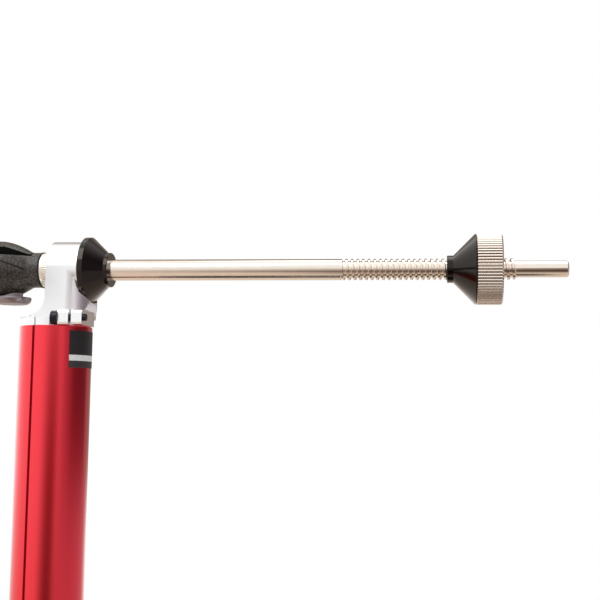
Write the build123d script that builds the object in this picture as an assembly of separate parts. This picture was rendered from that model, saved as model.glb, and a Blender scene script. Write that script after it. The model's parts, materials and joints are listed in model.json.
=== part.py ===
"""A bicycle wheel truing stand: one mast, a cantilevered axle with two cones, and a sliding caliper."""

from build123d import *
import math
import os

os.makedirs("parts", exist_ok=True)

# The frame: Z is up from the bench top, X runs along the axle towards its free end, and the origin lies on
# the bench under the middle of the wheel. The user stands at -Y. All lengths are in millimetres.

# Clearances shared by the whole stand.
overrun = 1.0
screw_clearance = 0.10
running_clearance = 0.05
slip_clearance = 0.30

# Base plate, feet and bench bolt holes.
base_length = 320.0
base_width = 220.0
base_thickness = 6.0
base_corner_radius = 22.0
base_edge_round = 1.2
mast_inset = 64.0
foot_height = 8.0
foot_radius = 14.0
foot_inset = 26.0
foot_edge_round = 1.5
foot_screw_radius = 2.5
foot_screw_recess_radius = 6.0
foot_screw_recess_depth = 4.0
bench_hole_radius = 3.3
bench_hole_spacing_x = 180.0
bench_hole_spacing_y = 168.0

# Mast and its key groove.
mast_x = -96.0
mast_radius = 14.75
mast_wall = 3.0
mast_top_drop = 24.5
groove_width = 1.2
groove_depth = 1.4
groove_angle = 16.8
label_thickness = 0.2
label_top_gap = 2.0
label_height = 15.5
label_angle = 96.0

# Socket that bolts the mast to the base plate.
socket_flange = 76.0
socket_flange_thickness = 8.0
socket_flange_corner = 12.0
socket_wall = 8.0
socket_height = 38.0
socket_ear_length = 15.0
socket_ear_thickness = 9.0
socket_slit = 3.0
socket_bolt_radius = 3.0
socket_bolt_offset = 29.0
socket_edge_round = 1.0

# Axle line, head casting and left cone.
axle_height = 400.0
collar_radius = 14.0
collar_height = 3.5
spigot_length = 36.0
boss_offset = 1.0
boss_width = 13.5
boss_radius = 12.0
neck_overhang = 3.3
neck_height = 8.5
neck_corner = 9.0
lug_depth = 3.6
lug_height = 6.2
lug_offset = 6.1
lug_span = 10.1
lug_slit = 1.2
pinch_screw_radius = 1.5
pinch_head_radius = 2.9
pinch_head_height = 3.0
pinch_tip_length = 1.4
cone_rim_radius = 14.0
cone_rim_width = 2.7
cone_nose_radius = 7.4
cone_nose_length = 1.6

# Axle: neck, plain stretch, coarse thread and plain end.
axle_neck_radius = 3.5
axle_radius = 4.5
axle_shoulder_inset = 4.5
thread_start_x = 26.0
axle_plain_end = 22.6
thread_root_radius = 3.5
thread_pitch = 2.4
axle_end_x = 121.4
axle_end_chamfer = 0.7

# Right cone and its knurled nut.
right_nose_radius = 5.8
right_nose_length = 2.7
right_nut_radius = 15.0
right_nut_face_x = 82.6
right_nut_width = 11.1
nut_flute_count = 72
nut_flute_depth = 0.45
nut_edge_chamfer = 0.5
cone_flange_width = 0.2

# Quick release at the left end: knurled collar, body, cam barrel, yoke and lever.
knurl_collar_radius = 7.5
knurl_collar_width = 5.1
release_body_radius = 7.5
release_flare_radius = 11.7
release_end_flare = 0.8
release_knee_reach = 3.1
release_knee_rise = 1.1
release_flare_start = 3.8
release_pivot_offset = 13.9
release_end_radius = 12.0
lever_seat_drop = 7.0
lever_seat_reach = 9.8
lever_cap_thickness = 3.4
lever_cap_rim_gap = 0.5
lever_top_drop = 1.3
barrel_head_radius = 8.0
barrel_head_height = 2.9
barrel_head_round = 2.2
barrel_stem_radius = 4.5
barrel_top_radius = 3.0
cam_radius = 3.0
cam_offset = 1.2
yoke_wall = 1.6
yoke_height = 6.0
cam_play = 0.4
lever_hub_radius = 9.7
lever_tongue_width = 8.0
lever_plan_shares = [(-0.13, -0.05), (-0.19, -0.15), (-0.20, -0.55), (-0.15, -0.97)]
lever_length = 100.0
lever_swing = 110.0
lever_thickness = 5.0
lever_height = 13.0
lever_root_share = 0.105

# Carriage that slides on the mast and its lock.
carriage_rest_gap = 6.0
carriage_height = 44.0
carriage_half_x = 22.0
carriage_half_y = 19.0
carriage_corner = 5.0
carriage_chamfer = 1.0
key_side_clearance = 0.1
lock_pad_radius = 5.0
lock_pad_length = 3.0
lock_stud_radius = 4.0
lock_knob_radius = 16.0
lock_knob_width = 14.0
lock_knob_hub_radius = 9.0
lock_knob_hub_width = 5.0
lock_knob_lobes = 6
lock_knob_lobe_radius = 5.5
lock_knob_chamfer = 1.0

# Swing arm and its hinge.
hinge_reach = 14.0
hinge_radius = 8.0
hinge_ear_height = 8.0
hinge_pin_radius = 3.0
hinge_pin_head_radius = 5.0
hinge_pin_head_height = 2.0
arm_bar_half_width = 5.0
arm_bar_margin = 3.7
spine_half_width = 3.0
spine_reach = 14.0
spine_width = 26.0
spine_drop = 18.0
arm_corner_round = 3.0

# Lateral feeler: a threaded rod along X, moved by a captive knob.
feeler_rod_radius = 3.0
feeler_offset = 13.0
feeler_wall = 6.0
feeler_wall_reach = 7.0
feeler_knob_radius = 9.0
feeler_knob_flutes = 40
feeler_flute_depth = 0.4
lateral_drop = 14.0
lateral_tip_reach = 4.0
lateral_tail_reach = 12.0
lateral_tip_length = 6.0
lateral_tip_end_radius = 1.6

# Radial feeler: a threaded upright rod with a blade under the rim.
radial_knob_room = 14.0
radial_tail_reach = 6.0
blade_rise = 10.0
blade_thickness = 3.5
blade_half_width = 4.0
blade_left_reach = 5.0
blade_right_reach = 47.0
blade_screw_radius = 1.5
blade_screw_head_radius = 2.8
blade_screw_head_height = 1.6
blade_screw_length = 8.0

# Proportions of standard fasteners, as shares of the thread's radius or diameter.
cap_head_share = 1.65
cap_height_share = 2.0
cap_socket_share = 0.95
cap_socket_depth_share = 1.1
cap_chamfer_share = 0.12
nut_flat_share = 1.7
nut_height_share = 0.8
button_head_share = 1.8
button_height_share = 1.0

# Heights and places worked out from the sizes above.
plate_low = foot_height
plate_high = foot_height + base_thickness
base_middle_x = mast_x - mast_inset + base_length / 2
foot_x = base_length / 2 - foot_inset
foot_y = base_width / 2 - foot_inset
mast_bore_radius = mast_radius - mast_wall
flange_top = plate_high + socket_flange_thickness
socket_top = plate_high + socket_height
socket_radius = mast_radius + socket_wall
mast_top = axle_height - mast_top_drop
label_high = mast_top - label_top_gap
label_low = label_high - label_height
collar_top = mast_top + collar_height
boss_left = mast_x - boss_offset
boss_right = boss_left + boss_width
neck_right = boss_right + neck_overhang
lug_left = mast_x + lug_offset
lug_right = lug_left + lug_span
cone_face_x = boss_right
cone_rim_x = cone_face_x + cone_rim_width
cone_slope = cone_rim_radius - cone_nose_radius
cone_end_x = cone_rim_x + cone_slope + cone_nose_length
axle_shoulder_x = cone_face_x + axle_shoulder_inset
thread_end_x = axle_end_x - axle_plain_end
release_right_x = boss_left - knurl_collar_width
flare_x = release_right_x - release_flare_start
release_pivot_x = release_right_x - release_pivot_offset
release_top = axle_height + release_flare_radius + release_end_flare
lever_seat_z = release_top - lever_seat_drop
carriage_low = socket_top + carriage_rest_gap
carriage_high = carriage_low + carriage_height
lock_z = (carriage_low + carriage_high) / 2
carriage_left = mast_x - carriage_half_x
carriage_right = mast_x + carriage_half_x
hinge_x = carriage_right + hinge_reach
spine_left = hinge_x + spine_reach
spine_right = spine_left + spine_width
spine_low = carriage_low - spine_drop
lateral_height = carriage_high - lateral_drop
spine_high = lateral_height + feeler_knob_radius
lateral_tip_x = spine_right + lateral_tip_reach
lateral_tail_x = spine_left - lateral_tail_reach
radial_x = (spine_left + spine_right) / 2
radial_wall_high = spine_low + feeler_wall + radial_knob_room
radial_rod_low = spine_low - radial_tail_reach
blade_low = radial_wall_high + feeler_wall + blade_rise


def cylinder_x(radius, left, right, y=0, z=0):
    """A cylinder along X between two places."""
    return Pos((left + right) / 2, y, z) * Rot(0, 90, 0) * Cylinder(radius, right - left)


def cylinder_y(radius, front, back, x=0, z=0):
    """A cylinder along Y between two places."""
    return Pos(x, (front + back) / 2, z) * Rot(90, 0, 0) * Cylinder(radius, back - front)


def cylinder_z(radius, low, high, x=0, y=0):
    """An upright cylinder between two heights."""
    return Pos(x, y, (low + high) / 2) * Cylinder(radius, high - low)


def block(x_low, x_high, y_low, y_high, z_low, z_high):
    """A plain block between two corners."""
    size = Box(x_high - x_low, y_high - y_low, z_high - z_low)
    return Pos((x_low + x_high) / 2, (y_low + y_high) / 2, (z_low + z_high) / 2) * size


def turned(points):
    """A piece turned about the axle line, from closed (place along X, radius) points."""
    outline = Polyline(*[(x, 0, axle_height + r) for x, r in points], close=True)
    return revolve(make_face(outline), Axis((0, 0, axle_height), (1, 0, 0)), 360)


def rounded_slab(length, width, corner, low, high, x=0, y=0):
    """A slab with rounded upright corners."""
    outline = RectangleRounded(length, width, corner)
    return Pos(x, y, low) * extrude(outline, high - low)


def cap_screw(radius, length):
    """A socket head screw: the head's underside is at the origin and the shank goes down -Z."""
    head_height = radius * cap_height_share
    head = cylinder_z(radius * cap_head_share, 0, head_height)
    head = chamfer(head.edges().sort_by(Axis.Z)[-1], radius * cap_chamfer_share)
    socket_depth = radius * cap_socket_depth_share
    socket = extrude(RegularPolygon(radius * cap_socket_share, 6), socket_depth)
    shank = cylinder_z(radius, -length, 0)
    return head + shank - Pos(0, 0, head_height - socket_depth) * socket


def hex_nut(radius):
    """A hexagon nut with its bore, its lower face at the origin."""
    height = 2 * radius * nut_height_share
    body = extrude(RegularPolygon(radius * nut_flat_share, 6, major_radius=False), height)
    return body - cylinder_z(radius + screw_clearance, -overrun, height + overrun)


def button_screw(radius, length):
    """A low-headed screw: the head's underside is at the origin and the shank goes down -Z."""
    head_radius = radius * button_head_share
    head_height = radius * button_height_share
    head = cylinder_z(head_radius, 0, head_height)
    head = fillet(head.edges().sort_by(Axis.Z)[-1], head_height / 2)
    socket_depth = head_height * button_height_share / 2
    socket = extrude(RegularPolygon(radius * cap_socket_share, 6), socket_depth)
    return head + cylinder_z(radius, -length, 0) - Pos(0, 0, head_height - socket_depth) * socket


def flutes_x(radius, depth, count, left, right, y, z):
    """Straight knurl cuts round a cylinder along X: one small rod at each flute."""
    rods = []
    for index in range(count):
        turn = 2 * math.pi * index / count
        centre_y = y + radius * math.cos(turn)
        centre_z = z + radius * math.sin(turn)
        rods.append(cylinder_x(depth, left - overrun, right + overrun, centre_y, centre_z))
    return rods


def foot_places():
    """The four corners where feet sit."""
    return [(base_middle_x + x, y) for x in (-foot_x, foot_x) for y in (-foot_y, foot_y)]


def socket_bolt_places():
    """The four bolts round the mast."""
    offset = socket_bolt_offset
    return [(mast_x + x, y) for x in (-offset, offset) for y in (-offset, offset)]


def make_base_plate():
    """Steel plate with holes for the bench bolts, the feet and the socket."""
    plate = rounded_slab(base_length, base_width, base_corner_radius, plate_low, plate_high, base_middle_x)
    rims = plate.edges().group_by(Axis.Z)[-1] + plate.edges().group_by(Axis.Z)[0]
    plate = fillet(rims, base_edge_round)
    holes = []
    for x in (-bench_hole_spacing_x / 2, bench_hole_spacing_x / 2):
        for y in (-bench_hole_spacing_y / 2, bench_hole_spacing_y / 2):
            holes.append((base_middle_x + x, y, bench_hole_radius))
    holes += [(x, y, foot_screw_radius + screw_clearance) for x, y in foot_places()]
    holes += [(x, y, socket_bolt_radius + screw_clearance) for x, y in socket_bolt_places()]
    for x, y, radius in holes:
        plate -= cylinder_z(radius, plate_low - overrun, plate_high + overrun, x, y)
    return plate


def make_foot(x, y):
    """Rubber foot with a hole for its screw and a recess round the screw's end."""
    foot = cylinder_z(foot_radius, 0, foot_height, x, y)
    foot = fillet(foot.edges().sort_by(Axis.Z)[0], foot_edge_round)
    foot -= cylinder_z(foot_screw_radius + screw_clearance, 0, foot_height + overrun, x, y)
    foot -= cylinder_z(foot_screw_recess_radius, -overrun, foot_screw_recess_depth, x, y)
    return foot


def make_foot_screw(x, y):
    """Low-headed screw from the plate's top into the foot."""
    length = plate_high - foot_screw_recess_depth
    return Pos(x, y, plate_high) * button_screw(foot_screw_radius, length)


def make_mast_socket():
    """Flanged socket, split on its outer side, that grips the mast's foot."""
    side = socket_flange
    flange = rounded_slab(side, side, socket_flange_corner, plate_high, flange_top, mast_x)
    flange = fillet(flange.edges().group_by(Axis.Z)[-1], socket_edge_round)
    tube = cylinder_z(socket_radius, plate_high, socket_top, mast_x)
    ear_left = mast_x - socket_radius - socket_ear_length
    half = socket_slit / 2 + socket_ear_thickness
    ears = block(ear_left, mast_x, -half, half, flange_top + socket_slit, socket_top)
    ears = fillet(ears.edges().filter_by(Axis.Z).sort_by(Axis.X)[:2], socket_slit)
    socket = flange + tube + ears
    bore = mast_radius + running_clearance
    socket -= cylinder_z(bore, plate_high - overrun, socket_top + overrun, mast_x)
    slit_low = flange_top + socket_slit - overrun
    slit_half = socket_slit / 2
    socket -= block(ear_left - overrun, mast_x, -slit_half, slit_half, slit_low, socket_top + overrun)
    for x, y in socket_bolt_places():
        hole = socket_bolt_radius + screw_clearance
        socket -= cylinder_z(hole, plate_high - overrun, flange_top + overrun, x, y)
    for z in clamp_heights():
        hole = socket_bolt_radius + screw_clearance
        socket -= cylinder_y(hole, -half - overrun, half + overrun, clamp_x(), z)
    return socket


def clamp_x():
    """Place of the clamp screws across the socket's ears."""
    return mast_x - socket_radius - socket_ear_length / 2


def clamp_heights():
    """Heights of the two clamp screws."""
    middle = (flange_top + socket_slit + socket_top) / 2
    step = socket_bolt_radius * 2
    return [middle - step, middle + step]


def make_clamp_screw(z):
    """Cap screw that pulls the socket's ears together."""
    half = socket_slit / 2 + socket_ear_thickness
    length = 2 * half + 2 * socket_bolt_radius * nut_height_share + overrun
    return Pos(clamp_x(), -half, z) * Rot(90, 0, 0) * cap_screw(socket_bolt_radius, length)


def make_clamp_nut(z):
    """Nut behind the socket's ears."""
    half = socket_slit / 2 + socket_ear_thickness
    return Pos(clamp_x(), half, z) * Rot(-90, 0, 0) * hex_nut(socket_bolt_radius)


def make_socket_screw(x, y):
    """Cap screw through the flange and the plate."""
    length = flange_top - plate_low + 2 * socket_bolt_radius * nut_height_share + overrun
    return Pos(x, y, flange_top) * cap_screw(socket_bolt_radius, length)


def make_socket_nut(x, y):
    """Nut under the plate."""
    height = 2 * socket_bolt_radius * nut_height_share
    return Pos(x, y, plate_low - height) * hex_nut(socket_bolt_radius)


def groove_cut(width, depth, low, high):
    """The bar that a key groove of this width and depth takes from the mast."""
    bar = block(-width / 2, width / 2, -mast_radius - overrun, -mast_radius + depth, low, high)
    return Pos(mast_x, 0, 0) * Rot(0, 0, -groove_angle) * bar


def make_mast():
    """Round tube with a narrow key groove down its front."""
    tube = cylinder_z(mast_radius, plate_high, mast_top, mast_x)
    tube -= cylinder_z(mast_bore_radius, plate_high - overrun, mast_top + overrun, mast_x)
    return tube - groove_cut(groove_width, groove_depth, plate_high - overrun, mast_top + overrun)


def make_mast_label():
    """Bare wrap-round label on the wheel side of the mast."""
    band = cylinder_z(mast_radius + label_thickness, label_low, label_high, mast_x)
    band -= cylinder_z(mast_radius, label_low - overrun, label_high + overrun, mast_x)
    reach = mast_radius * 2
    spread = reach * math.tan(math.radians(label_angle / 2))
    plan = Polyline((0, 0), (reach, -spread), (reach, spread), close=True)
    wedge = extrude(make_face(plan), label_height + 2 * overrun)
    return band & Pos(mast_x, 0, label_low - overrun) * wedge


def head_outline():
    """Front view of the head casting: it sweeps up from the mast's collar to the axle boss."""
    left = mast_x - collar_radius
    right = mast_x + collar_radius
    neck_top = collar_top + neck_height
    sweep = Spline((left, 0, collar_top), (boss_left, 0, neck_top), tangents=[(1, 0, 0), (0, 0, 1)])
    flare = Spline((right, 0, collar_top), (neck_right, 0, neck_top), tangents=[(0, 0, 1), (0, 0, 1)])
    rest = Polyline(
        (boss_left, 0, neck_top),
        (boss_left, 0, axle_height),
        (neck_right, 0, axle_height),
        (neck_right, 0, neck_top),
    )
    foot = Line((left, 0, collar_top), (right, 0, collar_top))
    return make_face([sweep, rest, flare, foot])


def make_head_casting():
    """Head casting: spigot in the mast, collar, neck, axle boss and the pinch lugs in front."""
    body = extrude(head_outline(), boss_radius, both=True)
    left = mast_x - collar_radius
    length = neck_right - left
    low = collar_top - overrun
    high = axle_height + overrun
    body = body & rounded_slab(length, 2 * boss_radius, neck_corner, low, high, left + length / 2)
    lug_front = -boss_radius - lug_depth
    lugs = block(lug_left, lug_right, lug_front, 0, mast_top, mast_top + lug_height)
    lugs -= cylinder_z(mast_bore_radius, mast_top - overrun, mast_top + lug_height + overrun, mast_x)
    body += fillet(lugs.edges().filter_by(Axis.X).sort_by(Axis.Y)[:2], lug_slit)
    body += cylinder_x(boss_radius, boss_left, boss_right, 0, axle_height)
    body += cylinder_z(collar_radius, mast_top, collar_top, mast_x)
    body += cylinder_z(mast_bore_radius - running_clearance, mast_top - spigot_length, mast_top, mast_x)
    reach = neck_right - boss_left
    body -= cylinder_x(cone_rim_radius + slip_clearance, boss_right, boss_right + reach, 0, axle_height)
    bore = axle_neck_radius + running_clearance
    body -= cylinder_x(bore, boss_left - overrun, boss_right + overrun, 0, axle_height)
    slit_x = (lug_left + lug_right) / 2
    body -= block(
        slit_x - lug_slit / 2, slit_x + lug_slit / 2, lug_front - overrun, -boss_radius + overrun,
        mast_top - overrun, mast_top + lug_height + overrun,
    )
    hole = pinch_screw_radius + screw_clearance
    body -= cylinder_x(hole, lug_left - overrun, lug_right + overrun, pinch_y(), pinch_z())
    recess = pinch_head_radius + screw_clearance
    body -= cylinder_x(recess, lug_left - pinch_head_height - overrun, lug_left, pinch_y(), pinch_z())
    body -= groove_cut(groove_width, groove_depth, mast_top, collar_top)
    return body


def pinch_y():
    """Distance of the pinch screw in front of the mast's axis."""
    return -boss_radius - lug_depth / 2


def pinch_z():
    """Height of the pinch screw."""
    return mast_top + lug_height / 2


def make_pinch_screw():
    """Small screw across the head's lugs, with its tip showing past the threaded one."""
    head = cylinder_x(pinch_head_radius, lug_left - pinch_head_height, lug_left, pinch_y(), pinch_z())
    head = chamfer(head.edges().sort_by(Axis.X)[0], pinch_screw_radius * cap_chamfer_share)
    socket = extrude(RegularPolygon(pinch_screw_radius * cap_socket_share, 6), pinch_screw_radius)
    head -= Pos(lug_left - pinch_head_height, pinch_y(), pinch_z()) * Rot(0, 90, 0) * socket
    end = lug_right + pinch_tip_length
    return head + cylinder_x(pinch_screw_radius, lug_left, end, pinch_y(), pinch_z())


def make_left_cone():
    """Fixed cone that centres the hub's left end."""
    bore = axle_radius + running_clearance
    slope_end = cone_rim_x + cone_slope
    return turned([
        (cone_face_x, bore), (cone_face_x, cone_rim_radius), (cone_rim_x, cone_rim_radius),
        (slope_end, cone_nose_radius), (cone_end_x, cone_nose_radius), (cone_end_x, bore),
    ])


def axle_outline():
    """Half section of the axle, with each turn of the thread as a ring of crest, flank and root."""
    start = yoke_right_x()
    crest = thread_pitch / 3
    flank = thread_pitch / 6
    points = [(start, 0), (start, axle_neck_radius), (axle_shoulder_x, axle_neck_radius)]
    points += [(axle_shoulder_x, axle_radius), (thread_start_x, axle_radius)]
    turns = int((thread_end_x - thread_start_x) / thread_pitch)
    for index in range(turns):
        x = thread_start_x + index * thread_pitch
        points += [(x + flank, thread_root_radius), (x + flank + crest, thread_root_radius)]
        points += [(x + 2 * flank + crest, axle_radius), (x + thread_pitch, axle_radius)]
    last = thread_start_x + turns * thread_pitch
    points += [(last + flank, axle_neck_radius), (axle_end_x - axle_end_chamfer, axle_neck_radius)]
    points += [(axle_end_x, axle_neck_radius - axle_end_chamfer), (axle_end_x, 0)]
    return points


def yoke_middle_x():
    """Middle of the yoke's window with the lever closed."""
    return release_pivot_x - cam_offset


def yoke_right_x():
    """Right face of the yoke, where the axle starts."""
    return yoke_middle_x() + cam_radius + cam_play + yoke_wall


def yoke_half_y():
    """Half the yoke's width."""
    return cam_radius + cam_offset + cam_play + yoke_wall


def make_axle_yoke():
    """Yoke round the cam, at the axle's left end."""
    half_x = cam_radius + cam_play
    half_y = yoke_half_y() - yoke_wall
    middle = yoke_middle_x()
    low = axle_height - yoke_height / 2
    high = axle_height + yoke_height / 2
    left = middle - half_x
    right = middle + half_x
    yoke = block(left - yoke_wall, right + yoke_wall, -yoke_half_y(), yoke_half_y(), low, high)
    return yoke - block(left, right, -half_y, half_y, low - overrun, high + overrun)


def axle_travel():
    """How far the axle moves when the lever swings fully open."""
    return cam_offset * (1 - math.cos(math.radians(lever_swing)))


def make_knurled_collar():
    """Finely knurled collar between the release body and the head."""
    bore = axle_neck_radius + running_clearance
    return turned([
        (release_right_x, bore), (release_right_x, knurl_collar_radius),
        (boss_left, knurl_collar_radius), (boss_left, bore),
    ])


def release_funnel():
    """The outer shape that the release body and the lever's cap share: a barrel flared to a round end."""
    end_x = release_pivot_x - release_end_radius
    knee_x = flare_x - release_knee_reach
    profile = [
        Line((release_right_x, 0, axle_height), (release_right_x, 0, axle_height + release_body_radius)),
        Line(
            (release_right_x, 0, axle_height + release_body_radius),
            (flare_x, 0, axle_height + release_body_radius),
        ),
        Spline(
            (flare_x, 0, axle_height + release_body_radius),
            (knee_x, 0, axle_height + release_body_radius + release_knee_rise),
            (release_pivot_x, 0, axle_height + release_flare_radius),
            (end_x, 0, release_top),
            tangents=[(-1, 0, 0), (-1, 0, 0)],
        ),
        Line((end_x, 0, release_top), (end_x, 0, axle_height)),
        Line((end_x, 0, axle_height), (release_right_x, 0, axle_height)),
    ]
    body = revolve(make_face(profile), Axis((0, 0, axle_height), (1, 0, 0)), 360)
    low = 2 * axle_height - release_top - overrun
    high = release_top + overrun
    side = release_end_radius
    limits = cylinder_z(side, low, high, release_pivot_x)
    limits += block(release_pivot_x, release_right_x + overrun, -side, side, low, high)
    return body & limits


def make_release_body():
    """Quick-release body: cut away on top for the lever's cap, flat below, hollow inside for the yoke."""
    body = release_funnel()
    end_x = release_pivot_x - release_end_radius
    reach = release_end_radius + overrun
    seat_right = release_pivot_x + lever_seat_reach
    flat_z = axle_height - release_flare_radius
    body -= block(end_x - overrun, seat_right, -reach, reach, lever_seat_z, release_top + overrun)
    body -= block(end_x - overrun, seat_right, -reach, reach, flat_z - reach, flat_z)
    stem = barrel_stem_radius + running_clearance
    stem_low = flat_z - overrun
    body -= cylinder_z(stem, stem_low, lever_seat_z + overrun, release_pivot_x)
    room = slip_clearance
    cavity_left = yoke_middle_x() - cam_radius - cam_play - yoke_wall - room
    cavity_right = yoke_right_x() + axle_travel() + room
    half_y = yoke_half_y() + room
    half_z = yoke_height / 2 + room
    body -= block(cavity_left, cavity_right, -half_y, half_y, axle_height - half_z, axle_height + half_z)
    bore = axle_neck_radius + running_clearance
    return body - cylinder_x(bore, cavity_left, release_right_x + overrun, 0, axle_height)


def make_cam_barrel():
    """Upright barrel of the lever: a wide round head below, the eccentric cam and a thin top end."""
    head_high = axle_height - release_flare_radius - running_clearance
    head_low = head_high - barrel_head_height
    head = cylinder_z(barrel_head_radius, head_low, head_high, release_pivot_x)
    head = fillet(head.edges().sort_by(Axis.Z)[0], barrel_head_round)
    cam_low = axle_height - axle_neck_radius - slip_clearance
    cam_high = axle_height + axle_neck_radius + slip_clearance
    lower_stem = cylinder_z(barrel_stem_radius, head_high, cam_low, release_pivot_x)
    cam = cylinder_z(cam_radius, cam_low, cam_high, release_pivot_x - cam_offset)
    upper_stem = cylinder_z(barrel_stem_radius, cam_high, lever_seat_z, release_pivot_x)
    top = cylinder_z(barrel_top_radius, lever_seat_z, lever_cap_z(), release_pivot_x)
    return head + lower_stem + cam + upper_stem + top


def lever_cap_z():
    """Height of the underside of the lever's cap over the pivot."""
    return release_top - lever_cap_thickness


def lever_points():
    """Middle line of the lever in plan, from the pivot to the tip."""
    places = [(x * lever_length, y * lever_length) for x, y in lever_plan_shares]
    return [(release_pivot_x + x, y) for x, y in places]


def lever_cap():
    """The lever's cap: the top of the release body's shape over a ramp, round in plan about the pivot."""
    left = release_pivot_x - lever_hub_radius
    right = release_pivot_x + lever_hub_radius
    rim_low = lever_seat_z + lever_cap_rim_gap
    high = release_top + overrun
    outline = Polyline(
        (left, 0, lever_cap_z()),
        (release_pivot_x, 0, lever_cap_z()),
        (right, 0, rim_low),
        (right, 0, high),
        (left, 0, high),
        close=True,
    )
    ramp = extrude(make_face(outline), lever_hub_radius, both=True)
    return release_funnel() & ramp & cylinder_z(lever_hub_radius, rim_low, high, release_pivot_x)


def make_release_lever():
    """Curved lever: a cap over the barrel, a tongue past the body's end and a tall paddle."""
    points = lever_points()
    tongue_low = lever_seat_z + lever_cap_rim_gap
    tongue_high = release_top - lever_top_drop
    start = (release_pivot_x - lever_tongue_width / 2, 0)
    tongue = trace_strip(Line(start, points[1]), lever_tongue_width, tongue_low, tongue_high)
    paddle = trace_strip(Spline(*points), lever_thickness, tongue_high - lever_height, tongue_high)
    root = lever_length * lever_root_share + lever_thickness
    paddle -= cylinder_z(root, 0, 2 * axle_height, release_pivot_x)
    lever = lever_cap() + tongue + paddle
    return lever - cylinder_z(barrel_top_radius, lever_seat_z, lever_cap_z(), release_pivot_x)


def trace_strip(line, width, low, high):
    """A strip of constant width along a plan line, with round ends, between two heights."""
    strip = strip_plan(line, width)
    return Pos(0, 0, low) * extrude(strip, high - low)


def strip_plan(line, width):
    """Plan face of a strip along a line, closed by round ends."""
    return trace(line, line_width=width) + ends(line, width)


def ends(line, width):
    """Round ends of a strip."""
    first = line @ 0
    last = line @ 1
    return Pos(first.X, first.Y) * Circle(width / 2) + Pos(last.X, last.Y) * Circle(width / 2)


def make_right_cone():
    """Cone that slides on the axle into the hub's right end."""
    bore = axle_radius + running_clearance
    slope = right_nut_radius - right_nose_radius
    slope_end = right_nut_face_x - cone_flange_width
    slope_start = slope_end - slope
    nose_end = slope_start - right_nose_length
    return turned([
        (nose_end, bore), (nose_end, right_nose_radius), (slope_start, right_nose_radius),
        (slope_end, right_nut_radius), (right_nut_face_x, right_nut_radius), (right_nut_face_x, bore),
    ])


def make_cone_nut():
    """Knurled nut that drives the right cone along the thread."""
    bore = axle_radius + running_clearance
    left = right_nut_face_x + running_clearance
    right = right_nut_face_x + right_nut_width
    nut = turned([
        (left, bore), (left, right_nut_radius), (right - nut_edge_chamfer, right_nut_radius),
        (right, right_nut_radius - nut_edge_chamfer), (right, bore),
    ])
    return nut - flutes_x(right_nut_radius, nut_flute_depth, nut_flute_count, left, right, 0, axle_height)


def make_carriage_block():
    """Block that slides on the mast, with the lock's bore and two hinge ears."""
    length = 2 * carriage_half_x
    width = 2 * carriage_half_y
    body = rounded_slab(length, width, carriage_corner, carriage_low, carriage_high, mast_x)
    for low, high in ear_spans():
        ear = cylinder_z(hinge_radius, low, high, hinge_x)
        ear += block(carriage_right - carriage_corner, hinge_x, -hinge_radius, hinge_radius, low, high)
        body += ear
    rims = body.edges().group_by(Axis.Z)[-1] + body.edges().group_by(Axis.Z)[0]
    body = chamfer(rims, carriage_chamfer)
    low = carriage_low - overrun
    high = carriage_high + overrun
    body -= cylinder_z(mast_radius + running_clearance, low, high, mast_x)
    body -= cylinder_z(hinge_pin_radius + running_clearance, low, high, hinge_x)
    body -= cylinder_x(lock_stud_radius + running_clearance, carriage_left - overrun, mast_x, 0, lock_z)
    pad_left = mast_x - mast_radius - running_clearance - lock_pad_length
    body -= cylinder_x(lock_pad_radius + running_clearance, pad_left, mast_x, 0, lock_z)
    key_width = groove_width - 2 * key_side_clearance
    return body - groove_cut(key_width, 0, low, high)


def ear_spans():
    """Heights of the lower and upper hinge ears."""
    lower = (carriage_low, carriage_low + hinge_ear_height)
    upper = (carriage_high - hinge_ear_height, carriage_high)
    return [lower, upper]


def make_carriage_key():
    """Strip set in the carriage's bore that runs in the mast's groove."""
    key_width = groove_width - 2 * key_side_clearance
    depth = groove_depth - key_side_clearance
    return groove_cut(key_width, depth, carriage_low, carriage_high)


def make_lock_pad():
    """Brass pad that the lock screw presses on the mast."""
    left = mast_x - mast_radius - running_clearance - lock_pad_length
    pad = cylinder_x(lock_pad_radius, left + running_clearance, mast_x, 0, lock_z)
    return pad - cylinder_z(mast_radius + running_clearance, carriage_low, carriage_high, mast_x)


def make_lock_stud():
    """Threaded stud of the lock knob."""
    right = mast_x - mast_radius - running_clearance - lock_pad_length
    left = carriage_left - slip_clearance - lock_knob_hub_width - lock_knob_width / 2
    return cylinder_x(lock_stud_radius, left, right, 0, lock_z)


def make_lock_knob():
    """Lobed hand knob on a short hub."""
    hub_right = carriage_left - slip_clearance
    hub_left = hub_right - lock_knob_hub_width
    knob_left = hub_left - lock_knob_width
    knob = cylinder_x(lock_knob_radius, knob_left, hub_left, 0, lock_z)
    for index in range(lock_knob_lobes):
        turn = 2 * math.pi * (index + 1 / 2) / lock_knob_lobes
        reach = lock_knob_radius + lock_knob_lobe_radius / 3
        knob -= cylinder_x(
            lock_knob_lobe_radius, knob_left - overrun, hub_left + overrun,
            reach * math.cos(turn), lock_z + reach * math.sin(turn),
        )
    knob = chamfer(knob.edges().group_by(Axis.X)[0], lock_knob_chamfer)
    knob += cylinder_x(lock_knob_hub_radius, hub_left, hub_right, 0, lock_z)
    stud_left = hub_right - lock_knob_hub_width - lock_knob_width / 2
    return knob - cylinder_x(lock_stud_radius, stud_left, hub_right + overrun, 0, lock_z)


def make_hinge_pin():
    """Pin through both ears and the arm's knuckle, with a low head on top."""
    pin = cylinder_z(hinge_pin_radius, carriage_low, carriage_high, hinge_x)
    head_top = carriage_high + hinge_pin_head_height
    head = cylinder_z(hinge_pin_head_radius, carriage_high, head_top, hinge_x)
    return pin + chamfer(head.edges().sort_by(Axis.Z)[-1], hinge_pin_head_height / 4)


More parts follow.
